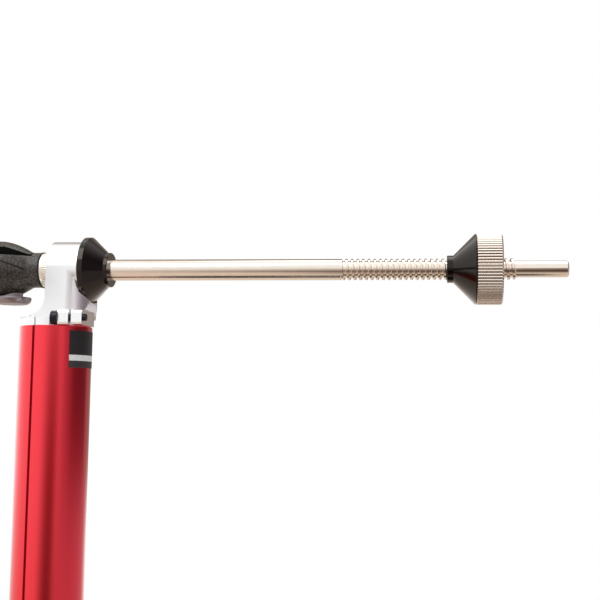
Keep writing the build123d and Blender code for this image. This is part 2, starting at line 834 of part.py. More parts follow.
def make_caliper_arm():
    """Swing arm: a knuckle on the hinge, a bar, and a spine that carries both feelers' walls."""
    knuckle_low = carriage_low + hinge_ear_height + slip_clearance
    knuckle_high = carriage_high - hinge_ear_height - slip_clearance
    arm = cylinder_z(hinge_radius, knuckle_low, knuckle_high, hinge_x)
    bar_low = knuckle_low + arm_bar_margin
    bar_high = knuckle_high - arm_bar_margin
    bar_right = spine_left + spine_half_width
    arm += block(hinge_x, bar_right, -arm_bar_half_width, arm_bar_half_width, bar_low, bar_high)
    arm += block(spine_left, spine_right, -spine_half_width, spine_half_width, spine_low, spine_high)
    front = -feeler_offset - feeler_wall_reach
    for left in (spine_left, spine_right - feeler_wall):
        low = lateral_height - feeler_knob_radius
        wall = block(left, left + feeler_wall, front, 0, low, spine_high)
        arm += fillet(wall.edges().filter_by(Axis.X).sort_by(Axis.Y)[:2], arm_corner_round)
    back = feeler_offset + feeler_wall_reach
    for low in (spine_low, radial_wall_high):
        wall = block(spine_left, spine_right, 0, back, low, low + feeler_wall)
        arm += fillet(wall.edges().filter_by(Axis.Z).sort_by(Axis.Y)[-2:], arm_corner_round)
    pin_hole = hinge_pin_radius + running_clearance
    arm -= cylinder_z(pin_hole, knuckle_low - overrun, knuckle_high + overrun, hinge_x)
    hole = feeler_rod_radius + running_clearance
    arm -= cylinder_x(hole, spine_left - overrun, spine_right + overrun, -feeler_offset, lateral_height)
    top = radial_wall_high + feeler_wall + overrun
    arm -= cylinder_z(hole, spine_low - overrun, top, radial_x, feeler_offset)
    return arm


def make_lateral_knob():
    """Captive knurled knob that moves the lateral rod."""
    left = spine_left + feeler_wall + slip_clearance
    right = spine_right - feeler_wall - slip_clearance
    radius = feeler_knob_radius
    knob = cylinder_x(radius, left, right, -feeler_offset, lateral_height)
    knob = chamfer(knob.edges().filter_by(GeomType.CIRCLE), nut_edge_chamfer)
    count = feeler_knob_flutes
    knob -= flutes_x(radius, feeler_flute_depth, count, left, right, -feeler_offset, lateral_height)
    hole = feeler_rod_radius + running_clearance
    return knob - cylinder_x(hole, left - overrun, right + overrun, -feeler_offset, lateral_height)


def make_lateral_rod():
    """Threaded rod of the lateral feeler."""
    right = lateral_tip_x - lateral_tip_length
    rod = cylinder_x(feeler_rod_radius, lateral_tail_x, right, -feeler_offset, lateral_height)
    return chamfer(rod.edges().sort_by(Axis.X)[0], nut_edge_chamfer)


def make_lateral_tip():
    """Hard tapered tip that the rim's side wall touches."""
    left = lateral_tip_x - lateral_tip_length
    taper = Cone(feeler_rod_radius, lateral_tip_end_radius, lateral_tip_length)
    tip = Pos((left + lateral_tip_x) / 2, -feeler_offset, lateral_height) * Rot(0, 90, 0) * taper
    return fillet(tip.edges().sort_by(Axis.X)[-1], lateral_tip_end_radius / 2)


def make_radial_knob():
    """Captive knurled knob that moves the radial rod."""
    low = spine_low + feeler_wall + slip_clearance
    high = radial_wall_high - slip_clearance
    knob = cylinder_z(feeler_knob_radius, low, high)
    knob = chamfer(knob.edges().filter_by(GeomType.CIRCLE), nut_edge_chamfer)
    rods = []
    for index in range(feeler_knob_flutes):
        turn = 2 * math.pi * index / feeler_knob_flutes
        x = feeler_knob_radius * math.cos(turn)
        y = feeler_knob_radius * math.sin(turn)
        rods.append(cylinder_z(feeler_flute_depth, low - overrun, high + overrun, x, y))
    knob -= rods
    knob -= cylinder_z(feeler_rod_radius + running_clearance, low - overrun, high + overrun)
    return Pos(radial_x, feeler_offset, 0) * knob


def make_radial_rod():
    """Threaded upright rod of the radial feeler, tapped at its top."""
    rod = cylinder_z(feeler_rod_radius, radial_rod_low, blade_low, radial_x, feeler_offset)
    rod = chamfer(rod.edges().sort_by(Axis.Z)[0], nut_edge_chamfer)
    hole = blade_screw_radius + screw_clearance
    depth = blade_screw_length - blade_thickness + overrun
    return rod - cylinder_z(hole, blade_low - depth, blade_low + overrun, radial_x, feeler_offset)


def make_radial_blade():
    """Flat blade that lies under the rim's edge."""
    high = blade_low + blade_thickness
    front = feeler_offset - blade_half_width
    back = feeler_offset + blade_half_width
    left = radial_x - blade_left_reach
    right = radial_x + blade_right_reach
    blade = block(left, right, front, back, blade_low, high)
    blade = fillet(blade.edges().filter_by(Axis.Z), blade_half_width / 2)
    hole = blade_screw_radius + screw_clearance
    return blade - cylinder_z(hole, blade_low - overrun, high + overrun, radial_x, feeler_offset)


def make_blade_screw():
    """Small screw that holds the blade on the rod."""
    high = blade_low + blade_thickness
    head_high = high + blade_screw_head_height
    head = cylinder_z(blade_screw_head_radius, high, head_high, radial_x, feeler_offset)
    head = fillet(head.edges().sort_by(Axis.Z)[-1], blade_screw_head_height / 2)
    shank = cylinder_z(blade_screw_radius, high - blade_screw_length, high, radial_x, feeler_offset)
    return head + shank


def group(shapes):
    """Identical loose pieces kept as separate solids under one name."""
    return Compound(children=list(shapes))


nodes = {
    "base_plate": make_base_plate(),
    "rubber_feet": group(make_foot(x, y) for x, y in foot_places()),
    "foot_screws": group(make_foot_screw(x, y) for x, y in foot_places()),
    "mast_socket": make_mast_socket(),
    "socket_screws": group(make_socket_screw(x, y) for x, y in socket_bolt_places()),
    "socket_nuts": group(make_socket_nut(x, y) for x, y in socket_bolt_places()),
    "clamp_screws": group(make_clamp_screw(z) for z in clamp_heights()),
    "clamp_nuts": group(make_clamp_nut(z) for z in clamp_heights()),
    "mast": make_mast(),
    "mast_label": make_mast_label(),
    "head_casting": make_head_casting(),
    "pinch_screw": make_pinch_screw(),
    "left_cone": make_left_cone(),
    "knurled_collar": make_knurled_collar(),
    "release_body": make_release_body(),
    "cam_barrel": make_cam_barrel(),
    "release_lever": make_release_lever(),
    "axle_yoke": make_axle_yoke(),
    "axle_rod": turned(axle_outline()),
    "right_cone": make_right_cone(),
    "cone_nut": make_cone_nut(),
    "carriage_block": make_carriage_block(),
    "carriage_key": make_carriage_key(),
    "lock_pad": make_lock_pad(),
    "lock_stud": make_lock_stud(),
    "lock_knob": make_lock_knob(),
    "hinge_pin": make_hinge_pin(),
    "caliper_arm": make_caliper_arm(),
    "lateral_knob": make_lateral_knob(),
    "lateral_rod": make_lateral_rod(),
    "lateral_tip": make_lateral_tip(),
    "radial_knob": make_radial_knob(),
    "radial_rod": make_radial_rod(),
    "radial_blade": make_radial_blade(),
    "blade_screw": make_blade_screw(),
}

for name, shape in nodes.items():
    export_step(shape, f"parts/{name}.step")
    size = shape.bounding_box().size
    print(f"{name}: {len(shape.solids())} solids, {size.X:.1f} x {size.Y:.1f} x {size.Z:.1f}")
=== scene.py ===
# %% [markdown]
# # Dressing a bicycle wheel truing stand
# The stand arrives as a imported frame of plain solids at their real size. This lesson keeps that frame where it
# is, models the pieces that the eye goes to again in mesh code, and gives every piece the finish of the real one.

# %% Load the frame
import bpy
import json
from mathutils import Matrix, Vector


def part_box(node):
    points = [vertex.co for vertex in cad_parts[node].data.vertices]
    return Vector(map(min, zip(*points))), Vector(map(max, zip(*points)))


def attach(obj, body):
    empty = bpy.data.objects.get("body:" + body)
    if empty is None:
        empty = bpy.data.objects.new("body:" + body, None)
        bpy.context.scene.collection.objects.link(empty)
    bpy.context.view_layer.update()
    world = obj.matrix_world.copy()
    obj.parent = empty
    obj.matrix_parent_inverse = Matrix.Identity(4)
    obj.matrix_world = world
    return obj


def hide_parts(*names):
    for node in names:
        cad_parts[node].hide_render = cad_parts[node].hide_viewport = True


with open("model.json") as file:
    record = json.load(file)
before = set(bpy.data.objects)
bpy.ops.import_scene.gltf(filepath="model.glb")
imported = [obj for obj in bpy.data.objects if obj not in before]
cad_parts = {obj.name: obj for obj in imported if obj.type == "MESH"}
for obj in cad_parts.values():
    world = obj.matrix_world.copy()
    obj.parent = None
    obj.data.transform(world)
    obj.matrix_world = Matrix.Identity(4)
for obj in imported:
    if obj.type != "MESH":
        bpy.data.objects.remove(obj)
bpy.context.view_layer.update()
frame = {"nodes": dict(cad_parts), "record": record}

# %% [markdown]
# ## Units and measured places
# Blender works in metres and the stand was drawn in millimetres, so one constant turns one into the other. Places
# are read from the frame's boxes wherever a node gives them, so that a new piece lands on the solid it stands for.

# %% Units and measured places
import bmesh
import bpy
import json
import math
from mathutils import Matrix, Vector

MM = 0.001
X_AXIS = Vector((1, 0, 0))
Y_AXIS = Vector((0, 1, 0))
Z_AXIS = Vector((0, 0, 1))


def middle(node):
    """Centre of a node's box."""
    low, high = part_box(node)
    return (low + high) / 2


nodes = frame["nodes"]
record = frame["record"]
body_of = {node: body for body, members in record["behaviour"]["bodies"].items() for node in members}
axle_z = middle("knurled_collar").z
axle_height_mm = round(axle_z / MM, 1)
axle_centre = Vector((0, 0, axle_z))
print("axle height", axle_height_mm, "mm")

# %% [markdown]
# ## Colour and node helpers
# Colours are written as the hex values that a colour picker shows, which are gamma-coded, and shaders want linear
# light, so one function converts them by the sRGB curve. One more function adds a node with its settings and its
# links. A Mix node names its sockets for every data type alike, so the ones for colours are picked by number.

# %% Colour and node helpers
MIX_FIRST, MIX_SECOND, MIX_RESULT = 6, 7, 2


def linear(code):
    """Linear RGBA from an sRGB hex string."""
    channels = [int(code[i:i + 2], 16) / 255 for i in (1, 3, 5)]
    low = [c / 12.92 if c <= 0.04045 else ((c + 0.055) / 1.055) ** 2.4 for c in channels]
    return (*low, 1.0)


def add_node(tree, kind, settings=None, values=None, links=None):
    """Adds a node: settings are its options, values its unlinked sockets, links what feeds its sockets."""
    node = tree.nodes.new(kind)
    for key, value in (settings or {}).items():
        setattr(node, key, value)
    for key, value in (values or {}).items():
        node.inputs[key].default_value = value
    for key, source in (links or {}).items():
        tree.links.new(source, node.inputs[key])
    return node


def start_material(name, **sockets):
    """A material with one Principled shader whose sockets are given by name."""
    material = bpy.data.materials.new(name)
    material.use_nodes = True
    tree = material.node_tree
    shader = tree.nodes["Principled BSDF"]
    for key, value in sockets.items():
        shader.inputs[key.replace("_", " ")].default_value = value
    return material, tree, shader


def pattern_scale(size_mm):
    """Texture scale whose features are about this many millimetres across."""
    return 1.0 / (size_mm * MM)


WHITE = linear("#ffffff")
print("white is", [round(c, 3) for c in WHITE])

# %% [markdown]
# ## Anodised aluminium
# The mast is an extruded tube, dyed red in its oxide layer and sealed. Light goes through the clear oxide and
# comes back off the metal, so it shines like metal but tinted, with faint drawn lines along its length. A metallic
# shader with a saturated colour does this, and a clear coat adds the oxide's own weak white shine. The drawn
# lines are a noise that is stretched along the tube. Real ones are finer, but would not show at this distance.

# %% Anodised aluminium
DRAWN_LINE_MM = 0.8
DRAWN_STRETCH = 0.01
DRAWN_DEPTH_MM = 0.01
COAT_SHARE = 0.6


def anodised_aluminium(name, code, deep_code, roughness):
    """Dyed anodised aluminium with drawn lines along Z."""
    material, tree, shader = start_material(
        name, Metallic=1.0, Roughness=roughness, Coat_Weight=1.0, Coat_Roughness=roughness * COAT_SHARE
    )
    place = add_node(tree, "ShaderNodeTexCoord")
    drawn = add_node(
        tree, "ShaderNodeMapping", values={"Scale": (1.0, 1.0, DRAWN_STRETCH)},
        links={"Vector": place.outputs["Object"]},
    )
    lines = add_node(
        tree, "ShaderNodeTexNoise", values={"Scale": pattern_scale(DRAWN_LINE_MM), "Detail": 3.0, "Roughness": 0.6},
        links={"Vector": drawn.outputs["Vector"]},
    )
    colour = add_node(
        tree, "ShaderNodeMix", settings={"data_type": "RGBA"},
        values={MIX_FIRST: linear(deep_code), MIX_SECOND: linear(code)}, links={"Factor": lines.outputs["Fac"]},
    )
    grain = add_node(
        tree, "ShaderNodeBump", values={"Strength": 0.06, "Distance": DRAWN_DEPTH_MM * MM},
        links={"Height": lines.outputs["Fac"]},
    )
    tree.links.new(colour.outputs[MIX_RESULT], shader.inputs["Base Color"])
    tree.links.new(grain.outputs["Normal"], shader.inputs["Normal"])
    return material


# The groove's colour is a little darker and paler than the mast's: painted shade in the recess.
groove_shade_anodised = anodised_aluminium("anodised_groove_painted_shade", "#e23346", "#cf2838", roughness=0.5)
red_anodised = anodised_aluminium("red_anodised_aluminium", "#f52438", "#ef2135", roughness=0.22)
black_anodised = anodised_aluminium("black_anodised_aluminium", "#3a3b3f", "#2c2d31", roughness=0.38)
print("made", groove_shade_anodised.name + ",", red_anodised.name, "and", black_anodised.name)

# %% [markdown]
# ## Bare and plated metal
# The head is cast aluminium, bead-blasted so that it is matte and pale. The nut, the collar and the axle are steel
# with a nickel plate, which is warm and bright. The cones are hardened, blackened, polished and oiled: a metal with
# a dark colour under a clear coat, so that its grazing edges flash white. Bolts are zinc plated or black oxide.

# %% Bare and plated metal
DRIFT_MM = 6.0
GRAIN_DEPTH_MM = 0.03
OIL_IOR = 1.34


def plated_metal(name, code, stain_code, roughness, grain_mm, grain_strength, oil=0.0):
    """Metal with a slow drift of tone and a fine surface grain, bare or under a film of oil."""
    material, tree, shader = start_material(
        name, Metallic=1.0, Roughness=roughness, Coat_Weight=oil, Coat_Roughness=roughness * COAT_SHARE,
        Coat_IOR=OIL_IOR,
    )
    place = add_node(tree, "ShaderNodeTexCoord")
    drift = add_node(
        tree, "ShaderNodeTexNoise", values={"Scale": pattern_scale(DRIFT_MM), "Detail": 4.0},
        links={"Vector": place.outputs["Object"]},
    )
    colour = add_node(
        tree, "ShaderNodeMix", settings={"data_type": "RGBA"},
        values={MIX_FIRST: linear(stain_code), MIX_SECOND: linear(code)}, links={"Factor": drift.outputs["Fac"]},
    )
    grain = add_node(
        tree, "ShaderNodeTexNoise", values={"Scale": pattern_scale(grain_mm), "Detail": 2.0},
        links={"Vector": place.outputs["Object"]},
    )
    bump = add_node(
        tree, "ShaderNodeBump", values={"Strength": grain_strength, "Distance": GRAIN_DEPTH_MM * MM},
        links={"Height": grain.outputs["Fac"]},
    )
    tree.links.new(colour.outputs[MIX_RESULT], shader.inputs["Base Color"])
    tree.links.new(bump.outputs["Normal"], shader.inputs["Normal"])
    return material


blasted_casting = plated_metal(
    "bead_blasted_cast_aluminium", "#fafafb", "#f2f2f4", roughness=0.3, grain_mm=0.35, grain_strength=0.4
)
nickel_plate = plated_metal(
    "nickel_plated_steel", "#ede3d8", "#e2d7ca", roughness=0.17, grain_mm=0.6, grain_strength=0.12
)
blackened_steel = plated_metal(
    "polished_blackened_steel", "#21170e", "#1a130c", roughness=0.16, grain_mm=0.5, grain_strength=0.12, oil=1.0
)
zinc_plate = plated_metal(
    "zinc_plated_steel", "#c9cbce", "#b0b3b8", roughness=0.33, grain_mm=0.5, grain_strength=0.2
)
black_oxide = plated_metal(
    "black_oxide_steel", "#34343a", "#232328", roughness=0.34, grain_mm=0.5, grain_strength=0.2
)
brass = plated_metal("turned_brass", "#d3ac5c", "#b8913f", roughness=0.28, grain_mm=0.6, grain_strength=0.2)
barrel_metal = plated_metal(
    "lilac_grey_anodised_barrel", "#a1979a", "#948a8d", roughness=0.42, grain_mm=0.4, grain_strength=0.3
)
print("made seven metals")

# %% [markdown]
# ## Rolled knurl
# A knurl is pressed into the nickel-plated steel. Its crests stay bright, and its valleys are darkened with old oil
# and with painted shade.
# Each knurled mesh says with an attribute how deep every place lies, from 0 on the crests to 1 in the valleys, and
# the material darkens and dulls by it. The collar's knurl is so fine that it throws light about as a pale film
# would, so it is a little less metallic than the nut's.

# %% Rolled knurl
VALLEY = "valley"
SCUFF_MM = 1.2
LEAST_OIL_AND_SHADE = 0.85


def rolled_knurl(name, crest_code, valley_code, crest_roughness, valley_roughness, metallic):
    """Knurled metal that turns dark and dull in its valleys, from old oil and painted shade."""
    material, tree, shader = start_material(name, Metallic=metallic)
    depth = add_node(tree, "ShaderNodeAttribute", settings={"attribute_name": VALLEY})
    place = add_node(tree, "ShaderNodeTexCoord")
    scuffs = add_node(
        tree, "ShaderNodeTexNoise", values={"Scale": pattern_scale(SCUFF_MM), "Detail": 3.0},
        links={"Vector": place.outputs["Object"]},
    )
    oil_and_shade = add_node(
        tree, "ShaderNodeMapRange", values={"From Min": 0.3, "From Max": 0.7, "To Min": LEAST_OIL_AND_SHADE, "To Max": 1.0},
        links={"Value": scuffs.outputs["Fac"]},
    )
    # The valley depth, made patchy by the noise, darkens the colour: old oil and painted shade.
    amount = add_node(
        tree, "ShaderNodeMath", settings={"operation": "MULTIPLY"},
        links={0: depth.outputs["Fac"], 1: oil_and_shade.outputs["Result"]},
    )
    colour = add_node(
        tree, "ShaderNodeMix", settings={"data_type": "RGBA"},
        values={MIX_FIRST: linear(crest_code), MIX_SECOND: linear(valley_code)},
        links={"Factor": amount.outputs["Value"]},
    )
    dull = add_node(
        tree, "ShaderNodeMapRange", values={"To Min": crest_roughness, "To Max": valley_roughness},
        links={"Value": amount.outputs["Value"]},
    )
    tree.links.new(colour.outputs[MIX_RESULT], shader.inputs["Base Color"])
    tree.links.new(dull.outputs["Result"], shader.inputs["Roughness"])
    return material


coarse_knurl = rolled_knurl(
    "rolled_nickel_knurl", "#f3e8dc", "#57463a", crest_roughness=0.2, valley_roughness=0.5, metallic=1.0
)
fine_knurl = rolled_knurl(
    "fine_rolled_nickel_knurl", "#fff6e8", "#4a3f35", crest_roughness=0.3, valley_roughness=0.5, metallic=0.7
)
print("made two knurls")

# %% [markdown]
# ## Black castings, powder coat, plastics and rubber
# The quick release is cast and finished in a wrinkled black paint with a slight brown cast. The base is powder
# coated: a thick film that dries with a fine orange peel. Both are dielectric, so the shine is white and weak and
# comes from a low roughness with a bump that breaks it up. The knob is moulded nylon and the feet are rubber. The
# near-black wedge under the lever is painted shadow for the shaded gap between lever and body, so its shine is
# turned down. The casting's parting line is darker and duller than the paint around it: painted shade in its
# crease.

# %% Black castings, powder coat, plastics and rubber
FLECK_FROM, FLECK_TO = 0.45, 0.75


def coated(name, code, fleck_code, roughness, grain_mm, depth_mm, strength, fleck_reach, shine=0.5):
    """A painted or moulded surface with a grain that lifts its colour a little on the high spots."""
    material, tree, shader = start_material(name, Roughness=roughness, Specular_IOR_Level=shine)
    place = add_node(tree, "ShaderNodeTexCoord")
    grain = add_node(
        tree, "ShaderNodeTexNoise", values={"Scale": pattern_scale(grain_mm), "Detail": 5.0, "Roughness": 0.62},
        links={"Vector": place.outputs["Object"]},
    )
    high = add_node(
        tree, "ShaderNodeMapRange",
        values={"From Min": FLECK_FROM, "From Max": FLECK_TO, "To Min": 0.0, "To Max": fleck_reach},
        links={"Value": grain.outputs["Fac"]},
    )
    colour = add_node(
        tree, "ShaderNodeMix", settings={"data_type": "RGBA"},
        values={MIX_FIRST: linear(code), MIX_SECOND: linear(fleck_code)}, links={"Factor": high.outputs["Result"]},
    )
    bump = add_node(
        tree, "ShaderNodeBump", values={"Strength": strength, "Distance": depth_mm * MM},
        links={"Height": grain.outputs["Fac"]},
    )
    tree.links.new(colour.outputs[MIX_RESULT], shader.inputs["Base Color"])
    tree.links.new(bump.outputs["Normal"], shader.inputs["Normal"])
    return material


wrinkle_black = coated(
    "wrinkle_black_casting", "#2b2622", "#857a6e", roughness=0.4, grain_mm=0.9, depth_mm=0.12, strength=0.9,
    fleck_reach=0.6,
)
# The seam's darker, duller colour is painted shade in the crease of the parting line.
seam_shade = coated(
    "casting_seam_shade", "#1f1b18", "#332c27", roughness=0.7, grain_mm=0.9, depth_mm=0.05, strength=0.5,
    fleck_reach=0.5, shine=0.3,
)
powder_coat = coated(
    "black_powder_coat", "#191a1c", "#2b2c2f", roughness=0.4, grain_mm=0.9, depth_mm=0.04, strength=0.35,
    fleck_reach=0.4,
)
moulded_nylon = coated(
    "moulded_black_nylon", "#1c1d1f", "#303236", roughness=0.48, grain_mm=0.7, depth_mm=0.05, strength=0.5,
    fleck_reach=0.4,
)
foot_rubber = coated(
    "black_rubber", "#18181a", "#2a2a2c", roughness=0.72, grain_mm=0.8, depth_mm=0.05, strength=0.5,
    fleck_reach=0.5,
)
# Near black with its shine turned down: painted shadow for the shaded gap under the lever.
painted_shadow_black = coated(
    "painted_shadow_black", "#070707", "#101010", roughness=0.9, grain_mm=0.4, depth_mm=0.1, strength=0.8, fleck_reach=0.5,
    shine=0.12,
)
white_acetal = coated(
    "white_acetal", "#e9e6dc", "#f4f2ea", roughness=0.38, grain_mm=0.8, depth_mm=0.02, strength=0.2,
    fleck_reach=0.5,
)
print("made seven coatings and plastics")

# %% [markdown]
# ## The mast's label
# The label is a bare black vinyl with two bands below its field, one pale and one dark grey. The bands run level
# round the mast, so the material reads the height on the object and steps from colour to colour with a ramp. A
# slow noise fades the print in places.

# %% The mast's label
LABEL_FIELD = "#221f22"
LABEL_PALE = "#efedec"
LABEL_FOOT = "#3a3637"
LABEL_PALE_FROM = 0.185
LABEL_FIELD_FROM = 0.34
LABEL_WEAR_MM = 1.5
label_low, label_high = (corner.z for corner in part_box("mast_label"))
label_vinyl, tree, shader = start_material("banded_black_vinyl", Roughness=0.42)
place = add_node(tree, "ShaderNodeTexCoord")
level = add_node(tree, "ShaderNodeSeparateXYZ", links={"Vector": place.outputs["Object"]})
share = add_node(
    tree, "ShaderNodeMapRange", values={"From Min": label_low, "From Max": label_high},
    links={"Value": level.outputs["Z"]},
)
bands = add_node(tree, "ShaderNodeValToRGB", links={"Fac": share.outputs["Result"]})
bands.color_ramp.interpolation = "CONSTANT"
bands.color_ramp.elements[0].color = linear(LABEL_FOOT)
bands.color_ramp.elements[1].position = LABEL_FIELD_FROM
bands.color_ramp.elements[1].color = linear(LABEL_FIELD)
bands.color_ramp.elements.new(LABEL_PALE_FROM).color = linear(LABEL_PALE)
wear = add_node(
    tree, "ShaderNodeTexNoise", values={"Scale": pattern_scale(LABEL_WEAR_MM), "Detail": 3.0},
    links={"Vector": place.outputs["Object"]},
)
faded = add_node(
    tree, "ShaderNodeMapRange", values={"From Min": 0.3, "From Max": 0.8, "To Min": 0.85, "To Max": 1.1},
    links={"Value": wear.outputs["Fac"]},
)
inked = add_node(
    tree, "ShaderNodeMix", settings={"data_type": "RGBA", "blend_type": "MULTIPLY"}, values={"Factor": 1.0},
    links={MIX_FIRST: bands.outputs["Color"], MIX_SECOND: faded.outputs["Result"]},
)
tree.links.new(inked.outputs[MIX_RESULT], shader.inputs["Base Color"])
print("label from", round(label_low / MM, 1), "to", round(label_high / MM, 1), "mm")

# %% [markdown]
# ## Turning and cutting
# Cones, nuts, collars and knobs come off a lathe, so each is a profile that is spun about its axis: a closed loop
# of points, given as a place along the axis and a radius. A plane cuts a shape as a saw does, and what lies on
# the side of its normal can be dropped.

# %% Turning and cutting
MERGE_MM = 0.0005
CUT_MM = 0.0001


def across(axis):
    """A direction square to an X or Z axis."""
    return Z_AXIS if axis != Z_AXIS else X_AXIS


def spin_profile(profile, axis, centre, steps):
    """A bmesh turned from a closed loop of (along, radius) points in millimetres about an axis."""
    bm = bmesh.new()
    side = across(axis)
    verts = [bm.verts.new(centre + axis * along * MM + side * radius * MM) for along, radius in profile]
    edges = [bm.edges.new(pair) for pair in zip(verts, verts[1:] + verts[:1])]
    bmesh.ops.spin(
        bm, geom=verts + edges, cent=centre, axis=axis, angle=2 * math.pi, steps=steps, use_merge=True
    )
    bmesh.ops.remove_doubles(bm, verts=bm.verts[:], dist=MERGE_MM * MM)
    bmesh.ops.recalc_face_normals(bm, faces=bm.faces[:])
    return bm


def cut(bm, place, normal, drop=True):
    """Cuts a bmesh along a plane and drops what lies on its normal's side."""
    bmesh.ops.bisect_plane(
        bm, geom=bm.verts[:] + bm.edges[:] + bm.faces[:], dist=CUT_MM * MM, plane_co=place, plane_no=normal,
        clear_outer=drop,
    )


print("places nearer than", MERGE_MM, "mm are merged")

# %% [markdown]
# ## Rounded edges and straight knurls
# A bevel breaks every sharp edge, so that it catches a line of light. A straight knurl is rolled into a turned rim:
# rows of round crests along the axis with sharp valleys between. The spin gives a rim eight steps to a crest, and
# each vertex is drawn in by how far it lies from the nearest crest. An attribute keeps that depth for the material.

# %% Rounded edges and straight knurls
SHARP_DEG = 32.0
STEPS_PER_CREST = 8
VALLEY_REACH = 0.6


def bevel_sharp(bm, width_mm, segments=2, keep=None):
    """Rounds every edge that turns sharply and that an optional test keeps."""
    least = math.radians(SHARP_DEG)
    sharp = [e for e in bm.edges if len(e.link_faces) == 2 and e.calc_face_angle() > least]
    if keep:
        sharp = [e for e in sharp if keep(e)]
    bmesh.ops.bevel(
        bm, geom=sharp, offset=width_mm * MM, offset_type="OFFSET", segments=segments, profile=0.5,
        affect="EDGES", material=-1, clamp_overlap=True,
    )


def flute(bm, axis, centre, count, depth_mm, rim_mm, from_mm=-math.inf):
    """Rolls a straight knurl into what lies outside a radius and past a place along the axis."""
    valley = bm.verts.layers.float.new(VALLEY)
    side = across(axis)
    for v in bm.verts:
        offset = v.co - centre
        along = offset.dot(axis)
        radial = offset - axis * along
        if along <= from_mm * MM or radial.length < rim_mm * MM:
            continue
        turn = math.atan2(radial.dot(axis.cross(side)), radial.dot(side))
        crest = abs(math.cos(turn * count / 2))
        v[valley] = max(0.0, 1.0 - crest / VALLEY_REACH)
        v.co -= radial.normalized() * depth_mm * MM * (1 - crest)


print("edges sharper than", SHARP_DEG, "degrees are rounded")

# %% [markdown]
# ## From mesh code to a piece
# Every piece goes through one function that gives it its object, material and body, and hides the nodes that it
# stands for.
# It also weighs the normals by face area, so that a long wall stays level up to its small bevel and mirrors the
# room without bending it.

# %% From mesh code to a piece
def finish_piece(bm, name, material, replaced, body, smooth_deg=30.0):
    """Turns a bmesh into the piece that stands for some nodes and rides on a body."""
    mesh = bpy.data.meshes.new(name)
    bm.normal_update()
    bm.to_mesh(mesh)
    bm.free()
    mesh.materials.append(material)
    mesh.shade_smooth()
    mesh.set_sharp_from_angle(angle=math.radians(smooth_deg))
    piece = bpy.data.objects.new(name, mesh)
    bpy.context.scene.collection.objects.link(piece)
    level = piece.modifiers.new("level_faces", "WEIGHTED_NORMAL")
    level.keep_sharp = True
    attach(piece, body)
    if replaced:
        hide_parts(*replaced)
    print(name, "has", len(mesh.polygons), "faces")
    return piece


print("ready to finish pieces")

# %% [markdown]
# ## The finish of every carried-over solid
# Most small pieces are already the right shape, so they only need the right surface. A dictionary says which
# material each node takes, and the softened pieces further down look theirs up in it too.

# %% Materials on the frame's own pieces
finishes = {
    "base_plate": powder_coat, "mast_socket": powder_coat, "rubber_feet": foot_rubber,
    "foot_screws": black_oxide, "socket_screws": zinc_plate, "socket_nuts": zinc_plate,
    "clamp_screws": zinc_plate, "clamp_nuts": zinc_plate, "mast": red_anodised, "mast_label": label_vinyl,
    "head_casting": blasted_casting, "pinch_screw": black_oxide,
    "left_cone": blackened_steel, "knurled_collar": nickel_plate, "release_body": wrinkle_black,
    "cam_barrel": barrel_metal, "release_lever": wrinkle_black, "axle_yoke": nickel_plate,
    "axle_rod": nickel_plate, "right_cone": blackened_steel, "cone_nut": nickel_plate,
    "carriage_block": black_anodised, "carriage_key": nickel_plate, "lock_pad": brass,
    "lock_stud": zinc_plate, "lock_knob": moulded_nylon, "hinge_pin": nickel_plate,
    "caliper_arm": black_anodised, "lateral_knob": nickel_plate, "lateral_rod": nickel_plate,
    "lateral_tip": white_acetal, "radial_knob": nickel_plate, "radial_rod": nickel_plate,
    "radial_blade": nickel_plate, "blade_screw": black_oxide,
}
for node, material in finishes.items():
    shown = nodes[node]
    shown.data.materials.clear()
    shown.data.materials.append(material)
print("dressed", len(finishes), "nodes")

# %% [markdown]
# ## The mast
# The real mast is an extruded tube with a key groove down its front. Its outline is drawn once, as an arc with a
# notch, and extruded to its full height. Extruding keeps the groove a real cut that shades like one. The groove's
# floor and walls take a second material: duller, because no one can polish them, and a little darker and paler,
# which is painted shade in the recess.

# %% The mast's outline
GROOVE_WIDTH_MM = 1.2
GROOVE_DEPTH_MM = 1.4
GROOVE_ANGLE_DEG = 16.8
MAST_STEPS = 160
mast_low, mast_high = (corner.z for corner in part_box("mast"))
mast_radius = (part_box("mast")[1].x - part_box("mast")[0].x) / 2
mast_x = middle("mast").x


def mast_outline(bm):
    """Draws the mast's closed outline at its foot: an arc from one lip of the groove round to the other."""
    half_angle = math.asin(GROOVE_WIDTH_MM * MM / 2 / mast_radius)
    centre = Vector((mast_x, 0, mast_low))
    front = Matrix.Rotation(-math.radians(GROOVE_ANGLE_DEG), 3, "Z") @ -Y_AXIS
    lip = centre + Matrix.Rotation(half_angle, 3, "Z") @ front * mast_radius
    first = bm.verts.new(lip)
    arc = bmesh.ops.spin(
        bm, geom=[first], cent=centre, axis=Z_AXIS, angle=2 * math.pi - 2 * half_angle, steps=MAST_STEPS
    )
    last = [g for g in arc["geom_last"] if isinstance(g, bmesh.types.BMVert)][0]
    floor_shift = -front * GROOVE_DEPTH_MM * MM
    floor_first = bm.verts.new(first.co + floor_shift)
    floor_last = bm.verts.new(last.co + floor_shift)
    for pair in ((last, floor_last), (floor_last, floor_first), (floor_first, first)):
        bm.edges.new(pair)


bm = bmesh.new()
mast_outline(bm)
print("the mast's outline has", len(bm.edges), "edges")

